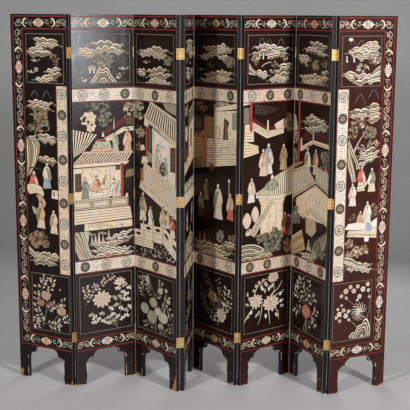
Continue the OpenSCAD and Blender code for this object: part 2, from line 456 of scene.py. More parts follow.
def ridges(art, x0, x1, z0, z1, tones, tilt=0.0, scale=1.5):
    """Overlapping hills or clouds: scalloped pale crests with coloured lines below them and tapering ends."""
    rng, tones = art.rng, tones.split()
    span, room = x1 - x0, z1 - z0
    rows = max(2, round(room / (21 * scale)))
    for i in range(rows):
        t = (i + 0.5) / rows
        share = min(1.0, rng.uniform(0.58, 0.76) + 0.28 * math.sin(math.pi * t * 0.9))
        a = x0 + span * (1 - share) * rng.random()
        b = a + span * share
        rise = min(40.0, span * share * 0.16) * rng.uniform(0.3, 1.0)
        top = crest(rng, a, b, z1 - rise - 8 * scale - (room - 14) * i / rows, rise, tilt, scale)
        ends = np.interp(np.linspace(0, 1, len(top)), (0, 0.26, 0.74, 1), (0.12, 1, 1, 0.12))[:, None]
        down = np.array([0.0, -scale]) * ends
        art.fill("line", np.vstack([top + (0, 2.0), (top + down * 27)[::-1]]))
        first, second, third = (tones[(i + j) % len(tones)] for j in range(3))
        pale = first if first in ("cream", "white", "blush") else "cream"
        margin = len(top) // 12
        for low, high, pigment, cut in ((0.0, 6.4, pale, 0), (9.8, 14.6, second, margin),
                                        (17.8, 21.2, third, margin)):
            inner = slice(cut, len(top) - cut)
            art.fill(pigment, np.vstack([(top + down * low)[inner], (top + down * high)[inner][::-1]]))
        for end, way in ((top[0], -1), (top[-1], 1)):
            if rng.random() < 0.6:
                art.stroke(pale, spline([end, end + (9 * way, 2), end + (20 * way, -1)], 3), 3.4, 1.0)


def strands(art, paths, tones, width):
    """Long drapes of rock: lines side by side between two guide curves."""
    left, right = (spline(path, 6) for path in paths)
    tones = tones.split()
    count = max(3, round(np.hypot(*(right - left).mean(0)) / width))
    art.fill("line", np.vstack([left, right[::-1]]))
    for i in range(count):
        one, two = (left + (right - left) * ((i + share) / count) for share in (0.1, 0.82))
        art.fill(tones[i % len(tones)], np.vstack([one, two[::-1]]))


def within_oval(rng, x, z, rx, rz, reach):
    """A random place in an oval."""
    a = rng.uniform(0, 2 * math.pi)
    r = math.sqrt(rng.random()) * reach
    return x + rx * r * math.cos(a), z + rz * r * math.sin(a)


def foliage(art, x, z, rx, rz, count, tones="sage green sage", lump=0.42):
    """A crown of many small jagged leaf pads. Lump is the size of a pad as a share of the crown."""
    rng, tones = art.rng, tones.split()
    for i in range(round(count * 2.9)):
        cx, cz = within_oval(rng, x, z, rx, rz, 0.86)
        w = max(rx * lump * rng.uniform(0.45, 0.8), 5.5)
        h = max(rz * lump * rng.uniform(0.5, 0.85), 5.0)
        pad = ellipse(cx, cz, w, h, 16, 8, 0.36, rng.uniform(0, 1))
        pad = pad + [[rng.uniform(-1, 1), rng.uniform(-1, 1)] for _ in pad]
        art.outlined(tones[i % len(tones)], pad, 1.0)
        for _ in range(2):
            b = rng.uniform(0, 2 * math.pi)
            mark = rng.choice(("mist", "line", "tan", "gold"))
            root = (cx - w * 0.3 * math.cos(b), cz - h * 0.3 * math.sin(b))
            art.fill(mark, almond(*root, b, w * 0.9, 2.2, 2))


def trunk(art, points, width, pigment="tan"):
    """A trunk with a dark line down its bark."""
    curve = spline(points, 5)
    art.stroke("line", curve, width + 2.4, width * 0.35 + 2)
    art.stroke(pigment, curve, width, width * 0.35)
    art.stroke("line", curve + (width * 0.12, 0), width * 0.16, width * 0.1)


def pine(art, x, z, height, spread):
    """A tree with its crown in tiers."""
    trunk(art, [(x, z), (x + spread * 0.12, z + height * 0.4), (x - spread * 0.08, z + height * 0.7),
                (x + spread * 0.1, z + height)], height * 0.07)
    for dx, dz, w in ((0.0, 0.98, 0.5), (-0.5, 0.78, 0.46), (0.5, 0.7, 0.46), (-0.35, 0.52, 0.4),
                      (0.34, 0.45, 0.36)):
        foliage(art, x + dx * spread, z + dz * height, spread * w, height * 0.13, 6, "sage tan sage", 0.5)


def rock(art, x, z, rx, rz, pigment, holes, lobes=7):
    """A lobed rock with lines that follow its rim, and holes through it."""
    rng = art.rng
    turn = rng.uniform(0, 1)
    art.outlined(pigment, ellipse(x, z, rx, rz, 28, lobes, 0.24, turn), 2.0)
    for i in range(3):
        s = 0.74 - 0.22 * i
        curve = ellipse(x + rx * 0.08 * i, z - rz * 0.06 * i, rx * s, rz * s, 20, lobes, 0.24, turn)
        art.stroke("line", curve[: 8 + 3 * i], 1.6, 0.8)
    for i in range(holes):
        a = rng.uniform(0, 6.28)
        art.outlined("brown", ellipse(x + rx * 0.42 * math.cos(a), z + rz * 0.42 * math.sin(a),
                                      rx * 0.17, rz * 0.2, 9), 1.4)


def rock_mound(art, u0, u1, z0, z1):
    """A low rock drawn in bands that follow its outline."""
    w, h = u1 - u0, z1 - z0
    profile = [(0, 0), (0.10, 0.30), (0.26, 0.34), (0.40, 0.66), (0.58, 0.72), (0.72, 1.0), (0.90, 0.92),
               (1.0, 0)]
    for i, tone in enumerate("white line cream line cream line sage line cream".split()):
        k = 1 - 0.105 * i
        rim = [(u0 + w * (0.6 + (x - 0.6) * k), z0 + h * z * k) for x, z in profile]
        art.fill(tone, spline(rim, 3, True))


def peaks(art, places, pigment="grey"):
    """Far mountains in outline only, each given as x, z and half width."""
    for x, z, w in places:
        outline = spline([(x - w, z - w * 1.3), (x - w * 0.45, z - w * 0.35), (x, z),
                          (x + w * 0.4, z - w * 0.3), (x + w, z - w * 1.4)], 4)
        art.stroke(pigment, outline, 3.6, 2.6)


def boat(art, x, z, length, pigment="blush"):
    """A small boat with a low cabin."""
    hull = spline([(x - length / 2, z + 3), (x, z - 4), (x + length / 2, z + 9)], 5)
    art.stroke(pigment, hull, 6.5, 3.5)
    art.stroke("line", hull + (0, 0.6), 1.1)
    art.outlined("cream", ellipse(x - length * 0.12, z + 5, 7, 5, 9), 1.2)


def water(art, x0, z0, x1, z1, rows):
    """Short ripples."""
    for i in range(rows):
        z = z0 + (z1 - z0) * (i + 0.5) / rows
        a = x0 + (x1 - x0) * art.rng.uniform(0, 0.4)
        b = a + (x1 - x0) * art.rng.uniform(0.3, 0.6)
        x = np.linspace(a, min(b, x1), 14)
        art.stroke("grey", np.stack([x, z + 1.6 * np.sin(x * 0.22)], 1), 2.0, 1.0)


def hut(art, x, z, w, h):
    """A hut with a dark door under a striped roof."""
    slab(art, "cream", (x - w * 0.4, z), (x + w * 0.4, z), (x + w * 0.4, z + h * 0.55),
         (x - w * 0.4, z + h * 0.55))
    art.fill("brown", box2(x - w * 0.14, z + 1, x + w * 0.14, z + h * 0.42))
    stripes(art, ((x - w * 0.62, z + h * 0.5), (x + w * 0.62, z + h * 0.5),
                  (x + w * 0.34, z + h), (x - w * 0.34, z + h)), 5, "cream", "brown")


# ---------------------------------------------------------------- people and buildings
ROBE = ((-0.07, 0.82), (-0.14, 0.70), (-0.19, 0.50), (-0.15, 0.42), (-0.16, 0.20), (-0.20, 0.02),
        (-0.06, 0.0), (0.06, 0.01), (0.19, 0.03), (0.15, 0.24), (0.14, 0.42), (0.20, 0.52), (0.14, 0.71),
        (0.07, 0.82))
SLEEVE = ((0.0, 0.75), (0.09, 0.69), (0.17, 0.58), (0.21, 0.44), (0.18, 0.31), (0.11, 0.33), (0.08, 0.46),
          (0.02, 0.58))
SEATED = ((-0.10, 0.78), (-0.2, 0.6), (-0.28, 0.3), (-0.4, 0.04), (-0.1, 0.0), (0.2, 0.0), (0.42, 0.06),
          (0.3, 0.3), (0.2, 0.58), (0.10, 0.78))


def figure(art, x, z, height, robe, trim, way, seated=False, sash=None, skirt=None):
    """A robed figure, with plain features too small to draw. Way is 1 to the right and -1 to the left."""
    with art.at(x, z, scale=height, mirror=way < 0):
        s = 1 / height
        art.outlined(robe, blob(*(SEATED if seated else ROBE)), 1.8 * s)
        if skirt:
            art.outlined(skirt, [(-0.14, 0.36), (-0.19, 0.02), (0.18, 0.02), (0.13, 0.36)], 1.5 * s)
        art.outlined(trim, blob(*SLEEVE), 1.5 * s)
        if sash:
            art.stroke(sash, spline([(-0.09, 0.66), (0.02, 0.5), (0.0, 0.25), (0.05, 0.04)], 4), 0.07, 0.04)
        for dx in (-0.09, -0.02, 0.06):
            art.stroke("line", spline([(dx, 0.5), (dx * 1.4, 0.3), (dx * 1.9, 0.06)], 3), 1.5 * s, 0.7 * s)
        art.stroke("line", spline([(-0.06, 0.8), (0.0, 0.68), (0.06, 0.8)], 3), 1.6 * s)
        head, size = (0.87, 0.085) if seated else (0.90, 0.062)
        art.fill("line", ellipse(-0.008, head + size * 0.35, size * 1.08, size * 1.05, 12))
        art.outlined("blush", ellipse(0.01, head - size * 0.08, size * 0.86, size * 1.0, 12), 1.0 * s)
        art.fill("line", ellipse(-0.012, head + size * 1.25, size * 0.45, size * 0.42, 8))


def lattice(art, u0, z0, u1, z1, nx, nz, bar="tan"):
    """A window with bars."""
    art.outlined("brown", box2(u0, z0, u1, z1), 2)
    for i in range(1, nx):
        x = u0 + (u1 - u0) * i / nx
        art.fill(bar, box2(x - 0.9, z0 + 1, x + 0.9, z1 - 1))
    for i in range(1, nz):
        z = z0 + (z1 - z0) * i / nz
        art.fill(bar, box2(u0 + 1, z - 0.9, u1 - 1, z + 0.9))


def needles(art, x, z, rx, rz, count, tones):
    """The crown of a pine: fans of thin needles."""
    rng, tones = art.rng, tones.split()
    for i in range(count):
        cx, cz = within_oval(rng, x, z, rx, rz, 0.85)
        size = rng.uniform(11, 17)
        for j in range(9):
            b = math.pi * (0.02 + 0.12 * j) + rng.uniform(-0.08, 0.08)
            art.fill(tones[(i + j) % len(tones)], almond(cx, cz, b, size, 3.0, 2))


def balustrade(art, u0, z0, u1, z1, panels):
    """A railing of fretted panels between posts."""
    art.outlined("cream", box2(u0, z0, u1, z1), 2.6)
    w = (u1 - u0) / panels
    for i in range(panels):
        a, b = u0 + i * w + 4, u0 + (i + 1) * w - 4
        panel_line(art, a + 1, z0 + 7, b - 1, z1 - 8, 2.8, "line")
        panel_line(art, a + 5, z0 + 11, b - 5, z1 - 12, 2.4, "green")
        panel_line(art, a + 14, z0 + 19, b - 14, z1 - 20, 2.2, "line")
        art.fill("line", box2(b + 3.0, z0 + 1, b + 5.0, z1 - 1))


def roof(art, quad, count, ridge_h, light, dark):
    """Tiles between a ridge and an eave, given bottom left, bottom right, top right, top left."""
    stripes(art, quad, count, light, dark, 0.58)
    bl, br, tr, tl = quad
    for a, b, h in ((bl, br, ridge_h * 0.8), (tl, tr, ridge_h)):
        slab(art, "cream", (a[0] - 4, a[1] - h / 2), (b[0] + 4, b[1] - h / 2),
             (b[0] + 4, b[1] + h / 2), (a[0] - 4, a[1] + h / 2))
        art.stroke("line", [a, b], 1.4)


def post(art, u, z0, z1, width):
    """A red column with a painted highlight in rose along its left side."""
    art.outlined("red", box2(u - width / 2, z0, u + width / 2, z1), 1.6)
    art.fill("rose", box2(u - width * 0.22, z0 + 2, u - width * 0.02, z1 - 2))


def rail(art, points, rows, step, posts=5):
    """Thin red rails that run side by side with small posts."""
    curve = spline(points, 3)
    for i in range(rows):
        art.stroke("red", curve + (0, step * (i - rows / 2 + 0.5)), 3.0)
    for i in range(posts):
        x, z = curve[round(i * (len(curve) - 1) / (posts - 1))]
        art.fill("red", box2(x - 1.5, z - step * rows / 2, x + 1.5, z + step * rows / 2 + 3))


def mottle(art, u0, z0, u1, z1, count, tones):
    """Faint painted clouds on a wall: short curled strokes."""
    rng, tones = art.rng, tones.split()
    for i in range(count):
        x, z = rng.uniform(u0, u1), rng.uniform(z0, z1)
        curl = spiral(x, z, rng.uniform(6, 13), 0.6, rng.uniform(0, 6.28), rng.choice((-1, 1)), 9)
        art.stroke(tones[i % len(tones)], curl, rng.uniform(2.0, 3.6), 1.2)


def blossoms(art, u0, z0, u1, z1, count, tones="white sage cream"):
    """A scatter of small flowers on the dark ground."""
    rng, tones = art.rng, tones.split()
    for i in range(count):
        x, z = rng.uniform(u0, u1), rng.uniform(z0, z1)
        size = rng.uniform(4.0, 8.0)
        art.fill(tones[i % len(tones)], ellipse(x, z, size, size * 0.8, 10, 5, 0.4, rng.random()))
        art.fill("line", ellipse(x, z, size * 0.22, size * 0.22, 5))


# ---------------------------------------------------------------- flower panels
def melon(art, x, z, rx, rz, tone):
    """A ribbed round fruit."""
    art.outlined(tone, ellipse(x, z, rx, rz, 22), 2.0)
    for i in range(7):
        d = (i - 3) / 3.6
        reach = rz * 0.9 * math.sqrt(max(0.0, 1 - d * d))
        rib = [(x + rx * d, z - reach), (x + rx * d * 1.06, z), (x + rx * d, z + reach)]
        art.stroke("sage" if i % 2 else "cream", rib, 4.0, 2.4)
    art.fill("line", ellipse(x, z + rz * 0.72, 3.0, 2.0, 7))


def peony(art, x, z, r, light, heart):
    """A full flower of overlapping petals in rings."""
    rng = art.rng
    turn = rng.uniform(0, 1)
    rings = ((11, 0.74, 0.40, light), (9, 0.58, 0.38, heart), (8, 0.42, 0.34, light),
             (6, 0.27, 0.28, heart), (4, 0.12, 0.22, light))
    for n, size, width, tone in rings:
        for i in range(n):
            a = turn + i * 2 * math.pi / n + 3 * size
            reach = size * rng.uniform(0.9, 1.1)
            px, pz = x + r * reach * math.cos(a), z + r * reach * 0.84 * math.sin(a)
            art.outlined(tone, ellipse(px, pz, r * width * 0.72, r * width * 0.6, 9, 3, 0.28, a), 1.1)
    art.fill("gold", ellipse(x, z, r * 0.1, r * 0.1, 7))


def leaf(art, x, z, angle, length, width, pigment):
    """A leaf with a dark vein."""
    art.outlined(pigment, almond(x, z, angle, length, width), 1.2)
    tip = (x + length * 0.8 * math.cos(angle), z + length * 0.8 * math.sin(angle))
    art.stroke("line", [(x, z), mix((x, z), tip, 0.5), tip], 1.3, 0.7)


def plum(art, x, z, r, tone, heart):
    """A five-petalled blossom."""
    turn = art.rng.uniform(0, 1.2)
    for i in range(5):
        a = turn + i * 2 * math.pi / 5
        art.outlined(tone, ellipse(x + r * 0.56 * math.cos(a), z + r * 0.56 * math.sin(a), r * 0.5,
                                   r * 0.46, 8), 1.0)
    art.fill(heart, ellipse(x, z, r * 0.24, r * 0.24, 6))


def trefoil(art, x, z, angle, size, pigment):
    """Three leaves on one root."""
    for d in (-1.0, 1.0, 0.0):
        leaf(art, x, z, angle + d, size, size * 0.66, pigment)


def stem(art, points, width, pigment="grey"):
    """A thin stalk. Its curve comes back."""
    curve = spline(points, 6)
    art.stroke(pigment, curve, width, width * 0.5)
    return curve


def spray(art, points, tones, size, kind="trefoil", gap=1.55, width=3.0):
    """A branch with leaves to either side, one pair for each gap times the size of a leaf."""
    curve = stem(art, points, width)
    rng, tones = art.rng, tones.split()
    count = max(2, round(np.hypot(*np.diff(curve, axis=0).T).sum() / (size * gap)))
    for i in range(1, count + 1):
        j = min(len(curve) - 1, round(i * (len(curve) - 1) / count))
        d = curve[j] - curve[j - 1]
        a = math.atan2(d[1], d[0])
        for way in (-1, 1):
            if rng.random() < 0.1:
                continue
            b = a + way * rng.uniform(0.7, 1.2)
            x, z = curve[j][0] + 5 * math.cos(b), curve[j][1] + 5 * math.sin(b)
            tone = tones[(i + (way > 0)) % len(tones)]
            if kind == "trefoil":
                trefoil(art, x, z, b, size * rng.uniform(0.85, 1.15), tone)
            else:
                leaf(art, x, z, b, size * rng.uniform(0.95, 1.35), size * 0.5, tone)


# ---------------------------------------------------------------- frames shared by the leaves
LOW_BAND, LOW_BADGES, HIGH_BADGES, HIGH_BAND = 243.0, 705.0, 1687.0, 2083.0
BADGES = (62.0, 194.0, 326.0)
BORDER_FLOWER = 195.0
BORDER_HALF, BAND_LINE = 31, 38  # half the height of a lotus border, and of a badge band with its red lines
OUTER_LINES, INNER_LINES = (206, 2119), (276, 2050)  # heights of the red lines beside the lotus borders
# the upright border and badge band of an end leaf
SIDE_LOTUSES = (510, 950, 1390, 1835)
SIDE_BADGES = (720, 839, 958, 1078, 1207, 1326, 1460, 1578, 1694)
SIDE_BORDER_U, SIDE_BORDER_BOX = 51, (22, 276, 80, 2050)
SIDE_BAND_U, SIDE_BAND_LOW, SIDE_BAND_LENGTH = 341, 664, 1072
SIDE_BAND_HALF, SIDE_BAND_END = 37, 39  # half the width of that band with its red lines, and of their ends
SIDE_LINES = (17, 82)
END_OUTER, END_BORDER, END_INNER = 14, 24, 80  # where the level lines and borders of an end leaf begin
TOP_FIELD, FLOWER_FIELD = (1752, 2022), (308, 648)  # lower and upper end


def long_border(art, z, place, first=0.0):
    """A level lotus border across the leaf with one flower."""
    with art.within(first, z - BORDER_HALF, LEAF_W, z + BORDER_HALF), art.at(0, z):
        lotus_border(art, LEAF_W, first + 4, [place])


def side_border(art):
    """The upright border and badges along the outer edge of an end leaf, drawn for the left one."""
    _, low, _, high = SIDE_BORDER_BOX
    with art.within(*SIDE_BORDER_BOX), art.at(SIDE_BORDER_U, 0, 90):
        lotus_border(art, high, low + 4, SIDE_LOTUSES)
    with art.at(SIDE_BAND_U, SIDE_BAND_LOW, 90):
        kinds = ["dark" if i % 2 else "light" for i in range(len(SIDE_BADGES))]
        medallion_band(art, SIDE_BAND_LENGTH, [z - SIDE_BAND_LOW for z in SIDE_BADGES], kinds)
    ends = (SIDE_BAND_LOW - 2, SIDE_BAND_LOW + SIDE_BAND_LENGTH + 2)
    for u in (SIDE_BAND_U - SIDE_BAND_HALF, SIDE_BAND_U + SIDE_BAND_HALF):
        art.stroke("red", [(u, ends[0]), (u, ends[1])], 3.5)
    for z in ends:
        art.stroke("red", [(SIDE_BAND_U - SIDE_BAND_END, z), (SIDE_BAND_U + SIDE_BAND_END, z)], 4)
    red_line(art, [(SIDE_LINES[0], 206), (SIDE_LINES[0], 2118)], 6)
    red_line(art, [(SIDE_LINES[1], 272), (SIDE_LINES[1], 2050)], 6)


def inner_bands(art, kinds):
    """The badge bands above and below the palace scene, the lower one with its badges in the other order."""
    for z, order in ((HIGH_BADGES, kinds), (LOW_BADGES, kinds[::-1])):
        with art.at(0, z):
            medallion_band(art, LEAF_W, BADGES, order)
        for dz in (-BAND_LINE, BAND_LINE):
            red_line(art, [(0, z + dz), (LEAF_W, z + dz)])


def long_lines(art, first=0.0, inner=0.0):
    """The red lines along both lotus borders, which start at first outside them and at inner inside them."""
    (z0, z3), (z1, z2) = OUTER_LINES, INNER_LINES
    for z, start in ((z0, first), (z1, inner), (z2, inner), (z3, first)):
        red_line(art, [(start, z), (LEAF_W, z)], 6)


def thin_frame(art, u0, z0, u1, z1, tone="grey"):
    """The thin line around a picture."""
    panel_line(art, u0, z0, u1, z1, 3.4, tone)


def framed(art, span, field, draw):
    """A small picture in its frame."""
    box = (span[0], field[0], span[1], field[1])
    with art.within(*box):
        draw(art)
    thin_frame(art, *box)


# ---------------------------------------------------------------- the small landscapes along the top
# one for each leaf, from the left end of the screen to the right one, as are the scenes and the flowers below
def top_1(art):
    peaks(art, ((150, 2008, 16), (205, 2012, 18)), "brown")
    ridges(art, 140, 352, 1948, 2008, "tan gold cream", -0.06)
    ridges(art, 108, 292, 1902, 1960, "gold cream sage", -0.06)
    foliage(art, 300, 1888, 34, 26, 8, "tan brown sage")
    foliage(art, 308, 1858, 18, 16, 4, "tan sage")
    boat(art, 170, 1875, 62)
    ridges(art, 232, 356, 1772, 1846, "gold cream tan", 0.14)
    ridges(art, 156, 300, 1764, 1798, "cream tan")
    boat(art, 146, 1812, 70, "blush")
    hut(art, 172, 1812, 26, 24)


def top_2(art):
    art.fill("blush", ellipse(48, 2036, 11, 8, 8))
    ridges(art, 96, 356, 1918, 1994, "cream sage gold", -0.04)
    ridges(art, 32, 150, 1902, 1956, "blush cream peach", -0.12)
    foliage(art, 192, 1884, 70, 36, 17, "sage grey sage")
    foliage(art, 206, 1850, 46, 26, 8, "sage tan mist")
    hut(art, 122, 1806, 46, 44)
    for i, tone in enumerate(("cream", "line", "blush", "line", "sage", "line", "cream", "line", "peach")):
        w, h = 84 - 8.5 * i, 84 - 9 * i
        hump = spline([(192 - w, 1754), (192 - w * 0.60, 1754 + h * 0.52),
                       (192 - w * 0.32, 1754 + h * 0.96), (190, 1754 + h * 0.86),
                       (192 + w * 0.28, 1754 + h), (192 + w * 0.58, 1754 + h * 0.5), (192 + w, 1754)], 4)
        art.fill(tone, hump)
    boat(art, 322, 1830, 66, "white")
    boat(art, 300, 1798, 56, "sage")
    boat(art, 288, 1780, 34, "white")
    blossoms(art, 54, 1762, 118, 1784, 9, "white blush")


def top_3(art):
    peaks(art, ((122, 1998, 16), (182, 1990, 18)), "brown")
    ridges(art, 34, 356, 1906, 1966, "cream gold blush")
    boat(art, 122, 1868, 64, "peach")
    foliage(art, 312, 1884, 44, 30, 10, "grey tan sage")
    ridges(art, 96, 358, 1760, 1846, "cream gold sage cream", 0.07)
    ridges(art, 32, 118, 1796, 1836, "cream sage", -0.1)
    blossoms(art, 120, 1812, 160, 1836, 5, "blush white")


def top_4(art):
    ridges(art, 34, 356, 1938, 2000, "cream sage cream")
    ridges(art, 150, 356, 1900, 1944, "gold cream")
    foliage(art, 96, 1888, 44, 30, 9)
    boat(art, 230, 1862, 70)
    ridges(art, 34, 240, 1770, 1850, "cream gold sage", -0.08)
    hut(art, 290, 1790, 54, 44)
    water(art, 240, 1764, 350, 1786, 2)


def top_5(art):
    ridges(art, 34, 354, 1902, 1962, "cream gold blush")
    ridges(art, 196, 300, 1926, 1974, "white cream")
    foliage(art, 316, 1872, 50, 32, 12, "grey sage tan")
    foliage(art, 150, 1852, 34, 24, 7, "tan brown")
    boat(art, 70, 1822, 56, "sage")
    ridges(art, 40, 356, 1758, 1826, "cream gold blush", 0.06)


def top_6(art):
    peaks(art, ((128, 2004, 22), (180, 1998, 20), (268, 1998, 24)), "grey")
    ridges(art, 36, 352, 1920, 1982, "white cream sage", -0.02)
    ridges(art, 168, 286, 1906, 1946, "cream gold")
    for u in (110, 138, 176):
        slab(art, "white", (u - 6, 1888), (u + 6, 1888), (u + 4, 1926), (u - 3, 1926))
    foliage(art, 82, 1890, 32, 34, 9, "cream tan sage")
    foliage(art, 300, 1890, 24, 22, 6, "cream tan")
    foliage(art, 226, 1860, 30, 24, 7, "sage grey")
    strands(art, (((36, 1872), (62, 1840), (84, 1822)), ((36, 1806), (60, 1804), (98, 1800))),
            "blush cream sage", 9)
    art.stroke("blush", spline([(128, 1846), (150, 1862), (196, 1874)], 5), 4)
    ridges(art, 80, 176, 1798, 1830, "white sage", -0.1)
    boat(art, 204, 1822, 40, "sage")
    ridges(art, 214, 356, 1784, 1870, "white cream sage tan", 0.12)
    ridges(art, 160, 350, 1778, 1800, "blush cream")


def top_7(art):
    ridges(art, 88, 356, 1918, 1992, "tan sage cream", -0.1)
    ridges(art, 24, 172, 1872, 1920, "gold sage cream", -0.05)
    boat(art, 130, 1852, 60, "grey")
    foliage(art, 220, 1862, 40, 36, 11, "tan sage gold")
    foliage(art, 316, 1870, 36, 24, 8, "tan brown sage")
    ridges(art, 24, 356, 1748, 1818, "sage gold cream tan")
    ridges(art, 272, 356, 1764, 1836, "gold sage", 0.2)


def top_8(art):
    art.fill("white", ellipse(76, 2004, 17, 10, 12, 5, 0.2))
    peaks(art, ((92, 2000, 18), (146, 2000, 20)), "grey")
    ridges(art, 160, 274, 1950, 2004, "blush cream white")
    ridges(art, 34, 276, 1938, 1986, "blush cream white", -0.02)
    ridges(art, 88, 276, 1908, 1950, "white sage cream")
    for u in (54, 100):
        slab(art, "white", (u - 5, 1884), (u + 8, 1880), (u + 3, 1918), (u - 4, 1918))
    foliage(art, 236, 1896, 46, 32, 12, "cream sage tan")
    foliage(art, 152, 1850, 40, 30, 9, "sage blush sage")
    art.stroke("white", [(190, 1862), (200, 1840)], 6, 4)
    ridges(art, 34, 130, 1796, 1838, "blush cream", -0.1)
    ridges(art, 92, 276, 1768, 1830, "cream white sage", 0.02)
    strands(art, (((222, 1822), (248, 1846), (276, 1864)), ((190, 1770), (236, 1772), (276, 1774))),
            "cream sage white", 10)


# ---------------------------------------------------------------- the palace and garden in the middle
def scene_1(art):
    """The outer field of the left end leaf."""
    peaks(art, ((156, 1706, 24), (240, 1706, 27)))
    ridges(art, 88, 305, 1598, 1658, "gold cream tan", -0.06)
    foliage(art, 180, 1560, 72, 34, 14, "sage tan sage")
    foliage(art, 190, 1512, 78, 40, 15, "tan sage brown")
    foliage(art, 112, 1492, 26, 22, 5, "sage green")
    art.fill("line", ellipse(128, 1545, 18, 24, 9))
    art.fill("line", ellipse(222, 1497, 24, 13, 9))
    trunk(art, [(150, 1440), (160, 1480), (184, 1520)], 12)
    ridges(art, 160, 305, 1418, 1474, "gold sage cream", -0.08)
    ridges(art, 168, 305, 1302, 1348, "gold cream sage")
    strands(art, (((92, 1440), (90, 1360), (92, 1290), (88, 1212)),
                  ((120, 1452), (184, 1412), (168, 1320), (112, 1226))), "cream gold sage cream", 13)
    strands(art, (((118, 1450), (150, 1446), (186, 1400)), ((120, 1420), (150, 1412), (176, 1372))),
            "cream sage", 9)
    art.stroke("brown", spline([(100, 1262), (130, 1268), (180, 1262), (196, 1256)], 4), 10, 4)
    figure(art, 136, 1120, 136, "rose", "blush", 1, True)
    art.outlined("cream", blob((90, 1168), (150, 1174), (190, 1158), (206, 1120), (196, 1108), (150, 1122),
                               (110, 1112), (92, 1124)), 2)
    for i in range(4):
        art.stroke("tan", spline([(96, 1160 - 12 * i), (140, 1152 - 11 * i), (196, 1140 - 8 * i)], 3), 1.6)
    strands(art, (((148, 1112), (166, 1080), (164, 1044)), ((186, 1112), (218, 1070), (204, 1040))),
            "peach cream", 10)
    figure(art, 180, 916, 160, "peach", "tan", -1, skirt="blush")
    art.outlined("sage", blob((120, 1040), (148, 1034), (166, 1030), (160, 996), (132, 998)), 1.6)
    art.stroke("cream", [(122, 1044), (134, 1006)], 5, 3)
    figure(art, 228, 1152, 158, "cream", "sage", 1, skirt="blue")
    slab(art, "cream", (256, 1100), (304, 1096), (304, 1148), (262, 1150))
    art.fill("brown", box2(270, 1112, 279, 1140))
    figure(art, 270, 892, 146, "cream", "gold", -1, skirt="cream")
    foliage(art, 166, 850, 74, 50, 17, "tan brown tan", 0.5)
    foliage(art, 208, 822, 26, 20, 5, "tan sage")
    ridges(art, 88, 305, 704, 790, "cream sage gold sage", -0.05, scale=1.35)
    strands(art, (((88, 806), (120, 780), (156, 756), (208, 726)),
                  ((88, 762), (118, 744), (150, 730), (190, 722))), "cream blush sage", 8)
    ridges(art, 238, 305, 748, 784, "peach cream")


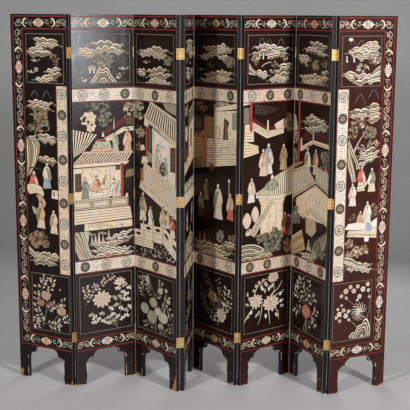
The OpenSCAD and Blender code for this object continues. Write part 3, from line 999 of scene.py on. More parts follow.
def scene_2(art):
    """A pavilion and its terrace."""
    needles(art, 150, 1610, 88, 34, 26, "sage grey green")
    needles(art, 200, 1540, 50, 46, 20, "sage grey green")
    foliage(art, 200, 1556, 44, 40, 8, "green sage grey")
    rock(art, 96, 1555, 54, 44, "cream", 2)
    art.outlined("brown", ellipse(68, 1549, 11, 15, 9), 2)
    rock(art, 112, 1508, 36, 30, "cream", 1)
    foliage(art, 350, 1612, 40, 32, 10, "cream tan mist")
    foliage(art, 344, 1560, 24, 22, 6, "cream blush")
    lattice(art, 326, 1508, 380, 1556, 4, 3)
    rail(art, [(180, 1462), (250, 1500), (320, 1540)], 3, 12)
    slab(art, "white", (176, 1450), (196, 1448), (182, 1484))
    slab(art, "white", (250, 1488), (258, 1488), (256, 1556), (252, 1556))
    slab(art, "cream", (190, 1440), (262, 1474), (312, 1498), (380, 1502), (380, 1474), (322, 1474),
         (270, 1452), (236, 1424), (206, 1420))
    art.stroke("line", [(200, 1436), (262, 1464), (312, 1487), (380, 1490)], 1.5)
    stripes(art, ((-6, 1338), (66, 1372), (150, 1462), (-6, 1500)), 8, "cream", "line", 0.56)
    slab(art, "mist", (110, 1380), (240, 1380), (226, 1420), (140, 1426))
    mottle(art, 124, 1386, 226, 1416, 16, "sage peach green")
    slab(art, "peach", (96, 1364), (240, 1366), (240, 1384), (118, 1384))
    art.stroke("rose", [(140, 1430), (204, 1434)], 6)
    art.stroke("green", [(178, 1366), (174, 1440)], 3)
    figure(art, 262, 1360, 116, "mist", "sage", 1)
    figure(art, 340, 1348, 146, "peach", "blush", -1)
    roof(art, ((-6, 1304), (338, 1304), (372, 1350), (60, 1366)), 18, 12, "cream", "line")
    slab(art, "cream", (-6, 1282), (330, 1282), (352, 1302), (-6, 1302))
    red_line(art, [(-4, 1303), (340, 1303)], 4)
    art.stroke("brown", [(-4, 1280), (326, 1280)], 3)
    art.outlined("cream", box2(-6, 1094, 300, 1278), 2)
    mottle(art, 100, 1200, 220, 1266, 24, "blush mist sage grey")
    lattice(art, 8, 1146, 46, 1248, 2, 3, "grey")
    panel_line(art, 54, 1100, 226, 1272, 2.2, "sage")
    for u in (228, 246):
        art.stroke("grey", [(u, 1100), (u, 1276)], 2)
    slab(art, "blush", (96, 1148), (190, 1148), (182, 1184), (104, 1184))
    figure(art, 70, 1100, 124, "sage", "blue", 1)
    figure(art, 142, 1138, 92, "peach", "rose", 1, True)
    figure(art, 250, 1094, 112, "blush", "white", -1, True)
    figure(art, 196, 1150, 78, "cream", "sage", -1, True)
    figure(art, 278, 1096, 96, "blush", "blue", -1)
    slab(art, "white", (104, 1112), (186, 1112), (182, 1130), (110, 1130))
    art.fill("tan", ellipse(140, 1136, 8, 6, 8))
    art.fill("line", ellipse(232, 1098, 11, 6, 10))
    lattice(art, 262, 1254, 290, 1276, 2, 2)
    slab(art, "tan", (322, 1204), (380, 1212), (380, 1254), (330, 1250))
    for i in range(4):
        art.stroke("line", [(326, 1212 + 10 * i), (380, 1219 + 10 * i)], 1.6)
    post(art, 303, 1094, 1290, 17)
    slab(art, "cream", (318, 1092), (342, 1092), (338, 1116), (326, 1112))
    balustrade(art, -6, 1038, 342, 1094, 3)
    courses(art, ((-6, 956), (366, 962), (352, 1036), (-6, 1036)), 5, "cream", "brown", 0.84)
    slab(art, "cream", (60, 914), (366, 914), (366, 956), (60, 956))
    mottle(art, 66, 920, 360, 950, 44, "tan sage grey")
    with art.within(0, 748, LEAF_W, 912):
        for u, h in ((106, 58), (128, 70), (150, 84), (176, 56), (214, 88), (246, 60), (296, 62),
                     (330, 46)):
            tall = spline([(u - 13, 820), (u - 6, 826 + h * 0.5), (u, 826 + h), (u + 7, 826 + h * 0.5),
                           (u + 13, 820)], 3)
            art.outlined("blush" if h > 60 else "mist", tall, 1.8)
            art.stroke("tan", [(u - 1, 824), (u + 1, 826 + h * 0.7)], 2.0, 1)
        for u in (104, 176):
            art.stroke("cream", spline([(u - 16, 888), (u - 6, 900), (u + 4, 884), (u + 16, 894),
                                        (u + 26, 880)], 4), 5, 3)
        ridges(art, 170, 388, 812, 890, "mist white grey", 0.24, scale=1.5)
        ridges(art, 70, 388, 740, 846, "blush mist white peach", -0.02, scale=1.7)
        strands(art, (((-4, 946), (36, 900), (60, 820), (100, 748)),
                      ((70, 948), (92, 900), (84, 830), (116, 756))), "white mist blush", 8)
        strands(art, (((-4, 880), (10, 840), (40, 790), (66, 744)),
                      ((-4, 946), (34, 898), (58, 822), (98, 748))), "peach white sage", 8)
        strands(art, (((-4, 820), (14, 780), (30, 744)), ((-4, 876), (10, 838), (64, 746))),
                "cream blush", 8)


def scene_3(art):
    """A hall, its stair and the people before it."""
    foliage(art, 40, 1618, 52, 34, 12, "sage cream mist")
    foliage(art, 38, 1566, 46, 30, 9, "cream sage gold")
    trunk(art, [(20, 1440), (40, 1520), (30, 1600)], 10, "brown")
    foliage(art, 58, 1470, 46, 32, 10, "cream gold sage")
    foliage(art, 40, 1390, 30, 30, 6, "brown tan grey")
    stripes(art, ((290, 1612), (388, 1584), (388, 1650), (262, 1650)), 9, "mist", "brown", 0.55)
    roof(art, ((96, 1566), (388, 1436), (388, 1556), (150, 1648)), 14, 16, "cream", "line")
    art.stroke("gold", [(90, 1574), (388, 1440)], 6)
    slab(art, "cream", (96, 1546), (388, 1410), (388, 1436), (96, 1566))
    art.stroke("line", [(96, 1556), (388, 1424)], 2)
    art.outlined("cream", [(166, 1180), (388, 1120), (388, 1412), (166, 1506)], 2)
    slab(art, "white", (184, 1176), (318, 1150), (318, 1434), (184, 1490), line=1.0)
    mottle(art, 192, 1200, 308, 1440, 120, "blue grey blue mist")
    figure(art, 280, 1196, 150, "blue", "mist", -1, skirt="white")
    slab(art, "green", (132, 1378), (160, 1372), (160, 1500), (132, 1512))
    lattice(art, 330, 1272, 370, 1408, 2, 5)
    slab(art, "rose", (373, 1120), (388, 1118), (388, 1408), (373, 1410))
    post(art, 117, 1312, 1516, 19)
    slab(art, "cream", (92, 1512), (140, 1504), (134, 1548), (98, 1552))
    rock(art, 262, 1278, 34, 44, "brown", 0, 9)
    blossoms(art, 238, 1246, 288, 1316, 14, "cream white")
    slab(art, "peach", (194, 1258), (232, 1250), (232, 1312), (198, 1312))
    figure(art, 216, 1284, 132, "mist", "white", 1)
    slab(art, "cream", (58, 1364), (104, 1372), (92, 1402), (62, 1398))
    slab(art, "sage", (120, 1310), (164, 1304), (170, 1352), (128, 1376))
    slab(art, "cream", (66, 1288), (132, 1300), (120, 1336), (74, 1334))
    courses(art, ((52, 1170), (388, 1030), (388, 1176), (96, 1304)), 9, "cream", "line", 0.82)
    slab(art, "cream", (46, 1150), (388, 1000), (388, 1034), (52, 1176))
    art.stroke("tan", [(50, 1162), (388, 1016)], 3)
    slab(art, "tan", (56, 1190), (86, 1196), (84, 1262), (60, 1262))
    art.outlined("orange", ellipse(70, 1206, 12, 18, 10), 1.6)
    figure(art, 78, 956, 176, "sage", "peach", 1, skirt="cream")
    figure(art, 148, 940, 116, "white", "mist", 1)
    figure(art, 262, 920, 152, "peach", "blush", -1, skirt="cream")
    figure(art, 306, 944, 110, "cream", "peach", 1)
    figure(art, 348, 896, 132, "orange", "peach", -1, skirt="white")
    slab(art, "cream", (56, 896), (268, 900), (388, 812), (388, 876), (280, 944), (56, 940))
    slab(art, "cream", (-6, 848), (266, 846), (388, 764), (388, 812), (268, 902), (-6, 900))
    art.stroke("tan", [(-6, 872), (268, 872), (388, 788)], 2.2)
    for u, z, a in ((36, 876, 0), (130, 920, 0), (216, 921, 0), (294, 900, -0.7), (366, 846, -0.7)):
        art.outlined("line", ellipse(u, z, 20, 7.5, 12, turn=a), 2)
        art.hoop("tan", ellipse(u, z, 23, 10, 14, turn=a), 1.6)
    for u in (84, 176, 262):
        art.outlined("cream", box2(u - 5, 850, u + 5, 962), 1.8)
        art.outlined("mist", ellipse(u, 968, 7, 8, 8), 1.4)
    courses(art, ((-6, 804), (176, 804), (176, 848), (-6, 848)), 3, "cream", "brown", 0.82)
    with art.within(0, 746, LEAF_W, 850):
        blossoms(art, 182, 760, 330, 842, 40)
        blossoms(art, 0, 752, 388, 800, 52)


def scene_4(art):
    """A covered walk and a garden hill."""
    foliage(art, 80, 1606, 76, 36, 12, "sage cream sage")
    roof(art, ((150, 1500), (388, 1560), (388, 1636), (180, 1590)), 16, 13, "sage", "brown")
    art.outlined("cream", [(168, 1330), (388, 1370), (388, 1552), (168, 1498)], 2)
    lattice(art, 236, 1384, 290, 1490, 3, 5)
    post(art, 150, 1300, 1510, 18)
    rock(art, 70, 1480, 50, 54, "cream", 3)
    courses(art, ((-6, 1250), (388, 1310), (388, 1378), (-6, 1320)), 5, "cream", "tan", 0.8)
    figure(art, 90, 1260, 130, "orange", "peach", 1, skirt="cream")
    balustrade(art, -6, 1150, 388, 1206, 4)
    courses(art, ((-6, 1080), (388, 1080), (388, 1148), (-6, 1148)), 4, "cream", "blush", 0.82)
    figure(art, 300, 930, 136, "blush", "sage", -1, skirt="rose")
    figure(art, 110, 920, 128, "cream", "blue", 1)
    foliage(art, 220, 900, 50, 36, 8)
    ridges(art, -8, 388, 748, 890, "cream sage gold peach")


def scene_5(art):
    """A terrace in the garden, whose left part is drawn in browns, tans and orange as a painted shadow."""
    foliage(art, 250, 1626, 100, 20, 12, "cream sage cream")
    slab(art, "cream", (186, 1588), (388, 1618), (388, 1650), (186, 1610))
    foliage(art, 70, 1610, 60, 30, 8, "brown tan")
    art.outlined("cream", [(184, 1420), (388, 1430), (388, 1610), (184, 1590)], 2)
    slab(art, "tan", (118, 1440), (186, 1436), (186, 1556), (122, 1560))
    slab(art, "sage", (344, 1500), (388, 1500), (388, 1598), (344, 1592))
    slab(art, "brown", (264, 1428), (310, 1432), (302, 1500), (318, 1538), (274, 1558))
    slab(art, "tan", (284, 1436), (296, 1436), (292, 1540), (284, 1544))
    rock(art, 226, 1474, 24, 42, "cream", 1)
    foliage(art, 62, 1430, 60, 50, 12, "brown orange tan")
    rock(art, 30, 1520, 36, 50, "brown", 2)
    courses(art, ((120, 1261), (388, 1304), (388, 1440), (120, 1433)), 12, "cream", "brown", 0.8)
    # the wall left of u 120 in tan with brown lines, darker than the cream wall to its right: painted shadow
    courses(art, ((-6, 1240), (120, 1261), (120, 1433), (-6, 1430)), 12, "tan", "brown", 0.76)
    for u in (150, 216, 282, 346):
        panel_line(art, u - 26, 1330 + (u - 150) * 0.16, u + 26, 1372 + (u - 150) * 0.16, 2.4, "brown")
    slab(art, "orange", (96, 1300), (120, 1302), (122, 1560), (100, 1566))
    foliage(art, 164, 1268, 26, 32, 6, "brown tan")
    figure(art, 118, 1066, 132, "tan", "brown", 1)
    figure(art, 226, 970, 216, "cream", "sage", -1)
    figure(art, 334, 978, 164, "peach", "blush", -1, skirt="rose")
    art.stroke("white", [(322, 1080), (320, 1196)], 4)
    art.fill("white", ellipse(321, 1204, 8, 12, 9))
    figure(art, 66, 964, 150, "tan", "sage", 1, skirt="brown")
    rock(art, 246, 872, 46, 36, "grey", 1)
    foliage(art, 350, 880, 40, 30, 7, "grey tan")
    with art.within(0, 746, LEAF_W, 960):
        for u, h in ((24, 60), (60, 92), (104, 110), (150, 84), (176, 60)):
            art.outlined("orange" if h > 80 else "tan", [(u - 18, 760), (u, 780 + h), (u + 16, 760)], 2)
        ridges(art, -8, 388, 744, 828, "cream sage gold blush", 0.02)
        ridges(art, 270, 388, 800, 858, "tan sage")


def scene_6(art):
    """A round tower with a flared roof."""
    slab(art, "blush", (-6, 1634), (74, 1646), (74, 1652), (-6, 1652))
    slab(art, "grey", (4, 1534), (44, 1534), (44, 1624), (4, 1624))
    for i in range(6):
        art.stroke("grey", [(84, 1638 - 10 * i), (262 - 14 * i, 1606 - 6 * i)], 1.8, 0.8)
    for i in range(5):
        art.stroke("brown", [(100 + 30 * i, 1636), (130 + 26 * i, 1580)], 1.6, 0.8)
    rail(art, [(68, 1552), (130, 1514), (186, 1484)], 4, 9, 6)
    rail(art, [(186, 1490), (240, 1500), (290, 1512)], 3, 9, 4)
    slab(art, "blush", (228, 1520), (260, 1534), (304, 1550), (306, 1486), (252, 1474))
    slab(art, "cream", (66, 1544), (182, 1486), (300, 1496), (304, 1466), (176, 1442), (66, 1498))
    for d in (-10, 2, 12):
        art.stroke("line", [(70, 1520 + d), (182, 1466 + d), (300, 1482 + d)], 1.6)
    slab(art, "blush", (172, 1478), (190, 1478), (188, 1548), (176, 1548))
    foliage(art, 345, 1530, 46, 60, 16, "tan brown grey")
    slab(art, "cream", (10, 1430), (78, 1430), (78, 1532), (10, 1532))
    courses(art, ((6, 1342), (116, 1362), (112, 1404), (8, 1436)), 5, "cream", "tan", 0.82)
    courses(art, ((8, 1430), (80, 1430), (78, 1480), (10, 1480)), 3, "cream", "tan", 0.82)
    post(art, 57, 1490, 1652, 20)
    figure(art, 188, 1232, 190, "blue", "cream", 1, sash="blue", skirt="white")
    figure(art, 152, 1226, 166, "peach", "blush", -1, skirt="blush")
    figure(art, 306, 1250, 160, "sand", "tan", -1)
    figure(art, 66, 1080, 150, "cream", "blush", 1, skirt="white")
    slab(art, "cream", (138, 866), (312, 866), (308, 1056), (326, 1100), (118, 1100), (138, 1056))
    for u in (150, 196, 206, 250, 260, 296, 303):
        art.stroke("tan", [(u, 870), (u, 1056)], 2.0)
    for z, w in ((1054, 168), (1068, 180), (1082, 196)):
        art.stroke("tan", [(224 - w / 2, z), (222 + w / 2, z)], 2.2)
    flare = spline([(98, 1122), (150, 1104), (230, 1096), (320, 1098), (388, 1112)], 5)
    ridge = spline([(98, 1134), (158, 1160), (206, 1200), (258, 1226), (320, 1250), (388, 1282)], 4)
    art.outlined("green", np.vstack([flare, ridge[::-1]]), 2)
    count = 21
    for i in range(count):
        quad = []
        for curve, t in ((flare, 0.14), (flare, 0.80), (ridge, 0.80), (ridge, 0.14)):
            j = (i + t) / count * (len(curve) - 1)
            quad.append(mix(curve[int(j)], curve[min(int(j) + 1, len(curve) - 1)], j - int(j)))
        art.fill("cream", quad)
    art.outlined("sage", blob((160, 1156), (180, 1184), (208, 1202), (232, 1206), (268, 1172), (250, 1146),
                              (206, 1140)), 2)
    mottle(art, 176, 1150, 254, 1190, 16, "cream mist green")
    slab(art, "white", (206, 1204), (232, 1208), (226, 1232), (214, 1230))
    for i in range(15):
        z = 1112 - 14 * math.sin(math.pi * i / 15)
        art.outlined("white", ellipse(108 + 18.5 * i, z, 10, 10, 10), 1.4)
    courses(art, ((50, 900), (90, 880), (236, 1064), (206, 1082)), 19, "cream", "brown", 0.6)
    for way in ((50, 900, 206, 1082), (90, 880, 236, 1064)):
        art.stroke("cream", [way[:2], way[2:]], 5)
    for u, z, w in ((36, 980, 33), (96, 1012, 29)):
        art.outlined("blush", ellipse(u, z, w, 48, 20, 4, 0.1), 2.2)
        art.stroke("peach", [(u, z - 36), (u + 2, z), (u, z + 36)], 2.2)
        for d in (-0.5, 0.5):
            art.stroke("peach", spline([(u + d * w * 0.6, z - 28), (u + d * w, z),
                                        (u + d * w * 0.5, z + 30)], 3), 1.6)
    with art.within(0, 746, LEAF_W, 1010):
        for i in range(9):
            r = 116 - 12 * i
            arc = [(40 + r * 1.4 * math.cos(a), 722 + r * math.sin(a)) for a in np.linspace(0, math.pi, 20)]
            art.stroke(("cream", "sage", "cream", "gold")[i % 4], arc, 6.5 if i % 2 else 7.5)
        ridges(art, 60, 250, 744, 800, "cream mist gold")
        rock(art, 50, 912, 30, 20, "cream", 1)
        for u, z, w, h in ((128, 866, 24, 30), (176, 862, 34, 34), (236, 878, 36, 44), (286, 862, 26, 32),
                           (250, 806, 60, 34), (190, 806, 44, 30)):
            foliage(art, u, z, w, h, 7, "sage grey green", 0.6)
        for u, tone in ((326, "orange"), (352, "red"), (372, "tan")):
            figure(art, u, 850 + (u % 7) * 6, 130, tone, "brown", -1)
        foliage(art, 350, 800, 44, 46, 12, "orange tan brown")


def scene_7(art):
    """A gabled hall, a lantern, a chest and reeds."""
    ridges(art, 84, 388, 1500, 1592, "mist cream grey", -0.02)
    foliage(art, 20, 1440, 32, 46, 9, "cream sage gold")
    slab(art, "mist", (0, 1470), (44, 1486), (20, 1560), (0, 1580))
    foliage(art, 20, 1330, 34, 50, 12, "sage green gold")
    for i in range(5):
        art.stroke("red" if i % 2 else "brown",
                   [(100, 1424 + 12 * i), (212, 1448 + 11 * i), (388, 1440 + 11 * i)], 3.8)
    slab(art, "cream", (84, 1362), (212, 1420), (388, 1408), (388, 1434), (206, 1444), (84, 1392))
    red_line(art, [(110, 1382), (206, 1428), (388, 1420)], 4)
    slab(art, "blush", (206, 1436), (220, 1436), (219, 1500), (208, 1500))
    slab(art, "cream", (72, 1362), (98, 1372), (92, 1446), (76, 1440))
    post(art, 57, 1282, 1646, 24)
    figure(art, 158, 1206, 200, "cream", "tan", -1, skirt="cream")
    figure(art, 246, 1246, 156, "peach", "tan", -1, skirt="blush")
    foliage(art, 342, 1360, 52, 36, 14, "tan sage grey")
    foliage(art, 330, 1296, 46, 40, 10, "sage green grey")
    figure(art, 350, 1232, 90, "rose", "peach", 1)
    slab(art, "tan", (-6, 1250), (100, 1296), (110, 1310), (-6, 1290))
    stripes(art, ((-6, 1078), (250, 1210), (150, 1290), (-6, 1232)), 15, "cream", "green", 0.64)
    stripes(art, ((250, 1210), (388, 1166), (388, 1262), (240, 1292)), 9, "cream", "green", 0.64)
    art.stroke("cream", [(-6, 1240), (150, 1294), (240, 1296), (388, 1266)], 6)
    art.outlined("cream", [(40, 985), (388, 985), (388, 1150), (250, 1196), (40, 1088)], 2)
    for d, w, tone in ((0, 5.0, "tan"), (9, 2.2, "line"), (17, 5.0, "cream"), (26, 3.0, "brown")):
        art.stroke(tone, [(-6, 1062 + d), (250, 1190 + d), (388, 1146 + d)], w)
    for u in (62, 76, 104, 120, 150, 176, 204, 232, 262, 300, 340):
        top = 1050 + (u - 40) * 0.5 if u < 250 else 1150 - (u - 250) * 0.3
        art.stroke("brown" if u % 4 else "gold", [(u, 990), (u, top)], 2.8)
    lattice(art, 14, 1052, 42, 1084, 2, 2)
    foliage(art, 46, 1020, 26, 22, 6, "cream tan")
    mottle(art, 150, 1080, 330, 1130, 12, "gold tan")
    slab(art, "cream", (106, 992), (206, 1056), (388, 1000), (388, 972), (204, 1024), (120, 974))
    for d in (-12, 0):
        art.stroke("brown", [(110, 984 + d), (206, 1044 + d), (388, 988 + d)], 2.6)
    slab(art, "line", (120, 888), (152, 894), (152, 966), (122, 948))
    slab(art, "sand", (150, 994), (262, 992), (272, 930), (224, 886), (156, 900))
    mottle(art, 168, 912, 250, 980, 14, "sage grey cream")
    panel_line(art, 176, 922, 240, 976, 2.2, "cream")
    art.stroke("cream", [(152, 996), (266, 992)], 6)
    courses(art, ((-6, 930), (92, 940), (84, 1000), (-6, 996)), 5, "grey", "brown", 0.6)
    figure(art, 26, 930, 110, "grey", "blue", 1)
    with art.within(0, 746, LEAF_W, 1010):
        courses(art, ((-6, 730), (156, 800), (112, 908), (-6, 832)), 4, "gold", "brown", 0.86)
        art.stroke("peach", [(-6, 780), (134, 856)], 10)
        slab(art, "cream", (-6, 826), (112, 902), (118, 914), (-6, 846))
        for u in (30, 70, 108):
            art.stroke("tan", [(u, 742 + u * 0.45), (u - 4, 840 + u * 0.5)], 2.4)
        figure(art, 192, 800, 70, "mist", "grey", 1, True)
        for i in range(16):
            u, z = 222 + i * 10.5, 786 + 7 * i
            curve = spline([(u - 30, z - 66), (u, z), (u + 40, z + 86)], 3)
            art.stroke(("mist", "cream", "sage", "gold")[i % 4], curve, 6.5, 2.4)
        for i in range(10):
            u, z = 214 + i * 15, 800 + 6 * i
            art.stroke("sage", spline([(u, z - 50), (u - 8, z + 10), (u - 32, z + 60)], 3), 4.5, 1.6)
        foliage(art, 312, 822, 60, 50, 12, "sage grey green", 0.36)
        ridges(art, 58, 300, 744, 790, "cream mist gold")


def scene_8(art):
    """The outer field of the right end leaf."""
    peaks(art, ((150, 1706, 34), (238, 1730, 36)))
    ridges(art, 84, 290, 1588, 1640, "cream blush sage")
    ridges(art, 196, 292, 1552, 1664, "cream sage blush", 0.16)
    ridges(art, 84, 210, 1576, 1632, "white sage cream", -0.02)
    foliage(art, 150, 1550, 60, 34, 13, "tan brown blush")
    foliage(art, 110, 1500, 36, 44, 10, "tan sage brown")
    foliage(art, 220, 1492, 52, 40, 14, "grey sage tan")
    trunk(art, [(118, 1390), (150, 1446), (190, 1500)], 11, "blush")
    foliage(art, 168, 1408, 30, 26, 6, "cream sage")
    foliage(art, 246, 1428, 44, 30, 9, "cream sage tan")
    ridges(art, 140, 294, 1326, 1412, "white sage cream", 0.34)
    strands(art, (((78, 1444), (96, 1390), (130, 1330), (140, 1290)),
                  ((84, 1462), (116, 1400), (146, 1340), (164, 1296))), "cream tan white", 8)
    strands(art, (((78, 1344), (86, 1300), (104, 1250), (112, 1222)),
                  ((80, 1440), (106, 1360), (126, 1300), (142, 1226))), "cream white sage", 9)
    figure(art, 174, 1166, 150, "rose", "blush", 1, skirt="cream")
    art.outlined("cream", blob((148, 1194), (196, 1208), (242, 1264), (226, 1224), (196, 1186),
                               (152, 1180)), 1.8)
    figure(art, 120, 1086, 138, "white", "blush", -1, skirt="white")
    figure(art, 246, 1158, 144, "sage", "white", -1, skirt="cream")
    foliage(art, 268, 1052, 28, 46, 10, "grey tan green")
    foliage(art, 122, 1022, 26, 26, 7, "tan brown")
    figure(art, 176, 970, 92, "peach", "blush", 1, True)
    figure(art, 224, 960, 156, "white", "cream", -1)
    slab(art, "white", (74, 962), (96, 988), (170, 994), (236, 980), (292, 1012), (292, 952), (180, 944),
         (78, 956))
    slab(art, "cream", (86, 914), (292, 892), (292, 952), (178, 944), (100, 950))
    art.stroke("line", spline([(90, 922), (150, 926), (212, 916), (290, 908)], 3), 2.4)
    art.fill("blue", ellipse(236, 958, 22, 26, 12, turn=0.5))
    slab(art, "white", (208, 876), (238, 876), (244, 912), (206, 914))
    for u, z, w in ((110, 872, 32), (150, 828, 42), (206, 830, 34), (112, 812, 30)):
        foliage(art, u, z, w, w * 0.9, 8, "tan cream tan", 0.5)
    ridges(art, 76, 276, 706, 776, "white sage cream", -0.04, scale=1.35)
    strands(art, (((78, 800), (130, 788), (180, 756), (276, 742)),
                  ((78, 760), (130, 742), (180, 724), (250, 732))), "cream sage white", 8)


# ---------------------------------------------------------------- the flower panels along the bottom
def flowers_1(art):
    for points in ([(176, 330), (196, 400), (206, 500)], [(250, 322), (262, 380), (308, 440)]):
        stem(art, points, 5, "sage")
    for points in ([(180, 340), (150, 400), (130, 470), (140, 560)], [(206, 500), (230, 560), (250, 610)],
                   [(200, 420), (260, 470), (330, 500)], [(160, 470), (170, 560), (200, 626)],
                   [(250, 330), (300, 370), (350, 400)], [(196, 350), (230, 350), (280, 340)],
                   [(140, 400), (124, 360), (130, 330)]):
        spray(art, points, "white cream blush", 24, "leaf", 0.85)
    for u, z, r in ((202, 520, 36), (164, 472, 26), (310, 440, 34), (236, 474, 20)):
        peony(art, u, z, r, "peach", "blush" if r > 30 else "rose")
    for u, z in ((160, 610), (300, 560), (330, 470), (250, 640)):
        art.outlined("peach", almond(u, z, 1.2, 17, 11), 1.2)


def flowers_2(art):
    stem(art, [(262, 312), (230, 380), (210, 440), (178, 480)], 5, "tan")
    stem(art, [(258, 330), (284, 420), (282, 520), (280, 570)], 4, "tan")
    stem(art, [(255, 330), (200, 350), (120, 372)], 4, "tan")
    for points in ([(100, 560), (150, 580), (190, 610), (230, 634)], [(70, 500), (90, 540), (120, 580)],
                   [(60, 470), (70, 530), (60, 580)]):
        spray(art, points, "white blush", 21, "leaf", 0.85)
    places = ((267, 552), (316, 567), (340, 546), (300, 523), (243, 499), (300, 484), (332, 476),
              (259, 453), (219, 437), (284, 429), (316, 413), (340, 431), (235, 398), (203, 382),
              (267, 382), (300, 367), (162, 413), (146, 382), (121, 398), (97, 413), (170, 367), (203, 351),
              (235, 359), (113, 367), (326, 510), (276, 500), (322, 380))
    for i, (u, z) in enumerate(places):
        trefoil(art, u, z - 8, math.pi / 2 + art.rng.uniform(-0.9, 0.9), 25,
                ("white", "mist", "white")[i % 3])
    peony(art, 165, 498, 60, "cream", "blush")
    for i in range(7):
        a = 0.1 + 0.47 * i
        art.outlined("white" if i % 2 else "cream", almond(280, 578, a, 46, 17), 1.4)
    art.outlined("cream", ellipse(280, 574, 14, 11, 9, 4, 0.2), 1.4)


def flowers_3(art):
    stem(art, [(190, 318), (200, 400), (210, 470), (170, 560), (130, 620)], 5, "sage")
    stem(art, [(205, 420), (260, 480), (290, 560)], 5, "sage")
    for points in ([(180, 520), (130, 560), (110, 620)], [(190, 500), (230, 560), (240, 610)],
                   [(205, 430), (270, 480), (300, 540)], [(140, 560), (80, 580), (60, 610)],
                   [(240, 470), (300, 470), (330, 440)], [(100, 500), (70, 530), (56, 560)]):
        spray(art, points, "mist cream sage", 24, "leaf", 0.9)
    for u, z, r in ((118, 616, 20), (240, 566, 20), (310, 520, 18), (290, 580, 14)):
        plum(art, u, z, r, "mist", "gold")
    for u, z, rx, rz in ((172, 486, 36, 30), (92, 436, 38, 34), (262, 412, 44, 34), (160, 396, 44, 40),
                         (214, 440, 30, 26), (240, 356, 26, 20)):
        melon(art, u, z, rx, rz, "mist" if u % 4 else "sage")
    for points in ([(200, 340), (130, 350), (90, 340)], [(210, 336), (270, 330), (310, 344)],
                   [(290, 400), (330, 380), (340, 350)]):
        spray(art, points, "sage mist", 18, "leaf", 0.8)


def flowers_4(art):
    spray(art, [(90, 312), (120, 420), (180, 520), (190, 630)], "white sage", 22)
    spray(art, [(120, 400), (230, 440), (320, 540)], "cream sage", 20)
    peony(art, 180, 520, 42, "blush", "rose")
    peony(art, 290, 500, 30, "cream", "blush")
    rock(art, 100, 336, 50, 26, "tan", 1)


def flowers_5(art):
    for points in ([(200, 330), (190, 400), (180, 480)], [(200, 420), (250, 500), (230, 600)],
                   [(180, 380), (110, 430), (90, 520)], [(190, 520), (150, 570), (110, 610)]):
        spray(art, points, "sage tan", 22, "leaf", 1.0)
    for points in ([(230, 330), (280, 400), (300, 480), (310, 560)], [(280, 440), (330, 480), (344, 540)],
                   [(230, 330), (220, 360), (180, 380)]):
        spray(art, points, "white cream", 26, "leaf", 0.9)
    peony(art, 182, 500, 42, "peach", "gold")
    peony(art, 262, 402, 46, "blush", "cream")


def flowers_6(art):
    stem(art, [(20, 372), (60, 430), (130, 476), (216, 470)], 5, "white")
    stem(art, [(90, 452), (110, 560), (160, 606), (200, 618)], 5, "white")
    stem(art, [(226, 480), (250, 540), (244, 610)], 4, "white")
    for points in ([(160, 470), (150, 400), (130, 350)], [(200, 440), (216, 390), (222, 336)],
                   [(250, 440), (284, 400), (290, 356)], [(230, 520), (280, 546), (312, 590)],
                   [(240, 500), (300, 520), (330, 530)]):
        art.stroke("white", spline(points, 5), 5, 2.4)
    for u, z, a, size in ((60, 476, 2.6, 34), (76, 500, 2.2, 38), (90, 440, 3.6, 40), (140, 436, 4.4, 36),
                          (186, 410, 4.9, 38), (290, 462, 0.3, 40), (296, 436, 0.0, 38),
                          (170, 550, 2.3, 40), (196, 566, 1.9, 42), (150, 560, 1.4, 34),
                          (226, 556, 1.0, 36), (52, 530, 1.8, 32), (290, 500, 0.7, 36), (128, 420, 4.0, 34),
                          (262, 400, 5.4, 36), (180, 530, 1.6, 36), (206, 540, 1.2, 38),
                          (64, 420, 3.9, 34)):
        leaf(art, u, z, a, size, size * 0.52, "white" if u % 4 else "mist")
    for u, z in ((112, 586), (134, 604), (166, 612), (96, 560), (180, 590)):
        plum(art, u, z, 11, "blush", "rose")
    peony(art, 114, 494, 52, "white", "blush")
    peony(art, 228, 466, 60, "cream", "white")
    peony(art, 243, 622, 42, "cream", "blush")


def flowers_7(art):
    for d in (-16, 0, 14):
        stem(art, [(176 + d * 1.4, 316), (182 + d * 0.6, 370), (184, 430)], 4, "mist")
    for points in ([(184, 470), (150, 540), (130, 610)], [(184, 470), (230, 520), (270, 540)],
                   [(150, 420), (90, 430), (60, 400)], [(150, 470), (100, 500), (60, 520)],
                   [(210, 430), (260, 430), (290, 470)], [(180, 370), (240, 370), (270, 390)],
                   [(184, 500), (200, 560), (200, 610)]):
        spray(art, points, "mist white sage", 28, "leaf", 0.95)
    peony(art, 182, 436, 52, "rose", "peach")
    for u, z in ((80, 590), (60, 560), (100, 620), (86, 560)):
        plum(art, u, z, 15, "mist", "cream")


def flowers_8(art):
    stem(art, [(262, 312), (240, 400), (200, 470), (100, 560), (60, 600)], 5, "tan")
    stem(art, [(240, 400), (262, 500), (250, 600)], 5, "tan")
    stem(art, [(200, 360), (110, 440), (40, 460)], 5, "tan")
    for u, z, r in ((96, 600, 17), (66, 574, 12), (126, 622, 14), (150, 596, 16), (176, 620, 13),
                    (100, 560, 10), (190, 560, 15), (212, 600, 17), (244, 626, 14), (250, 590, 12),
                    (176, 540, 10), (56, 470, 17), (36, 452, 12), (84, 490, 14), (100, 456, 16),
                    (60, 430, 12), (118, 480, 12), (122, 430, 10), (46, 500, 10), (70, 520, 9),
                    (258, 550, 10)):
        plum(art, u, z, r, "white" if u % 3 else "blush", "rose")
    for i in range(13):
        a = -0.2 + i * 0.44
        curl = spline([(190 + 10 * math.cos(a), 470 + 10 * math.sin(a)),
                       (190 + 36 * math.cos(a + 0.16), 470 + 36 * math.sin(a + 0.16)),
                       (190 + 56 * math.cos(a + 0.5), 470 + 56 * math.sin(a + 0.5))], 4)
        art.stroke("white", curl, 5.4, 2.4)
    art.fill("cream", ellipse(190, 470, 8, 8, 9))
    rock_mound(art, 132, 268, 318, 420)


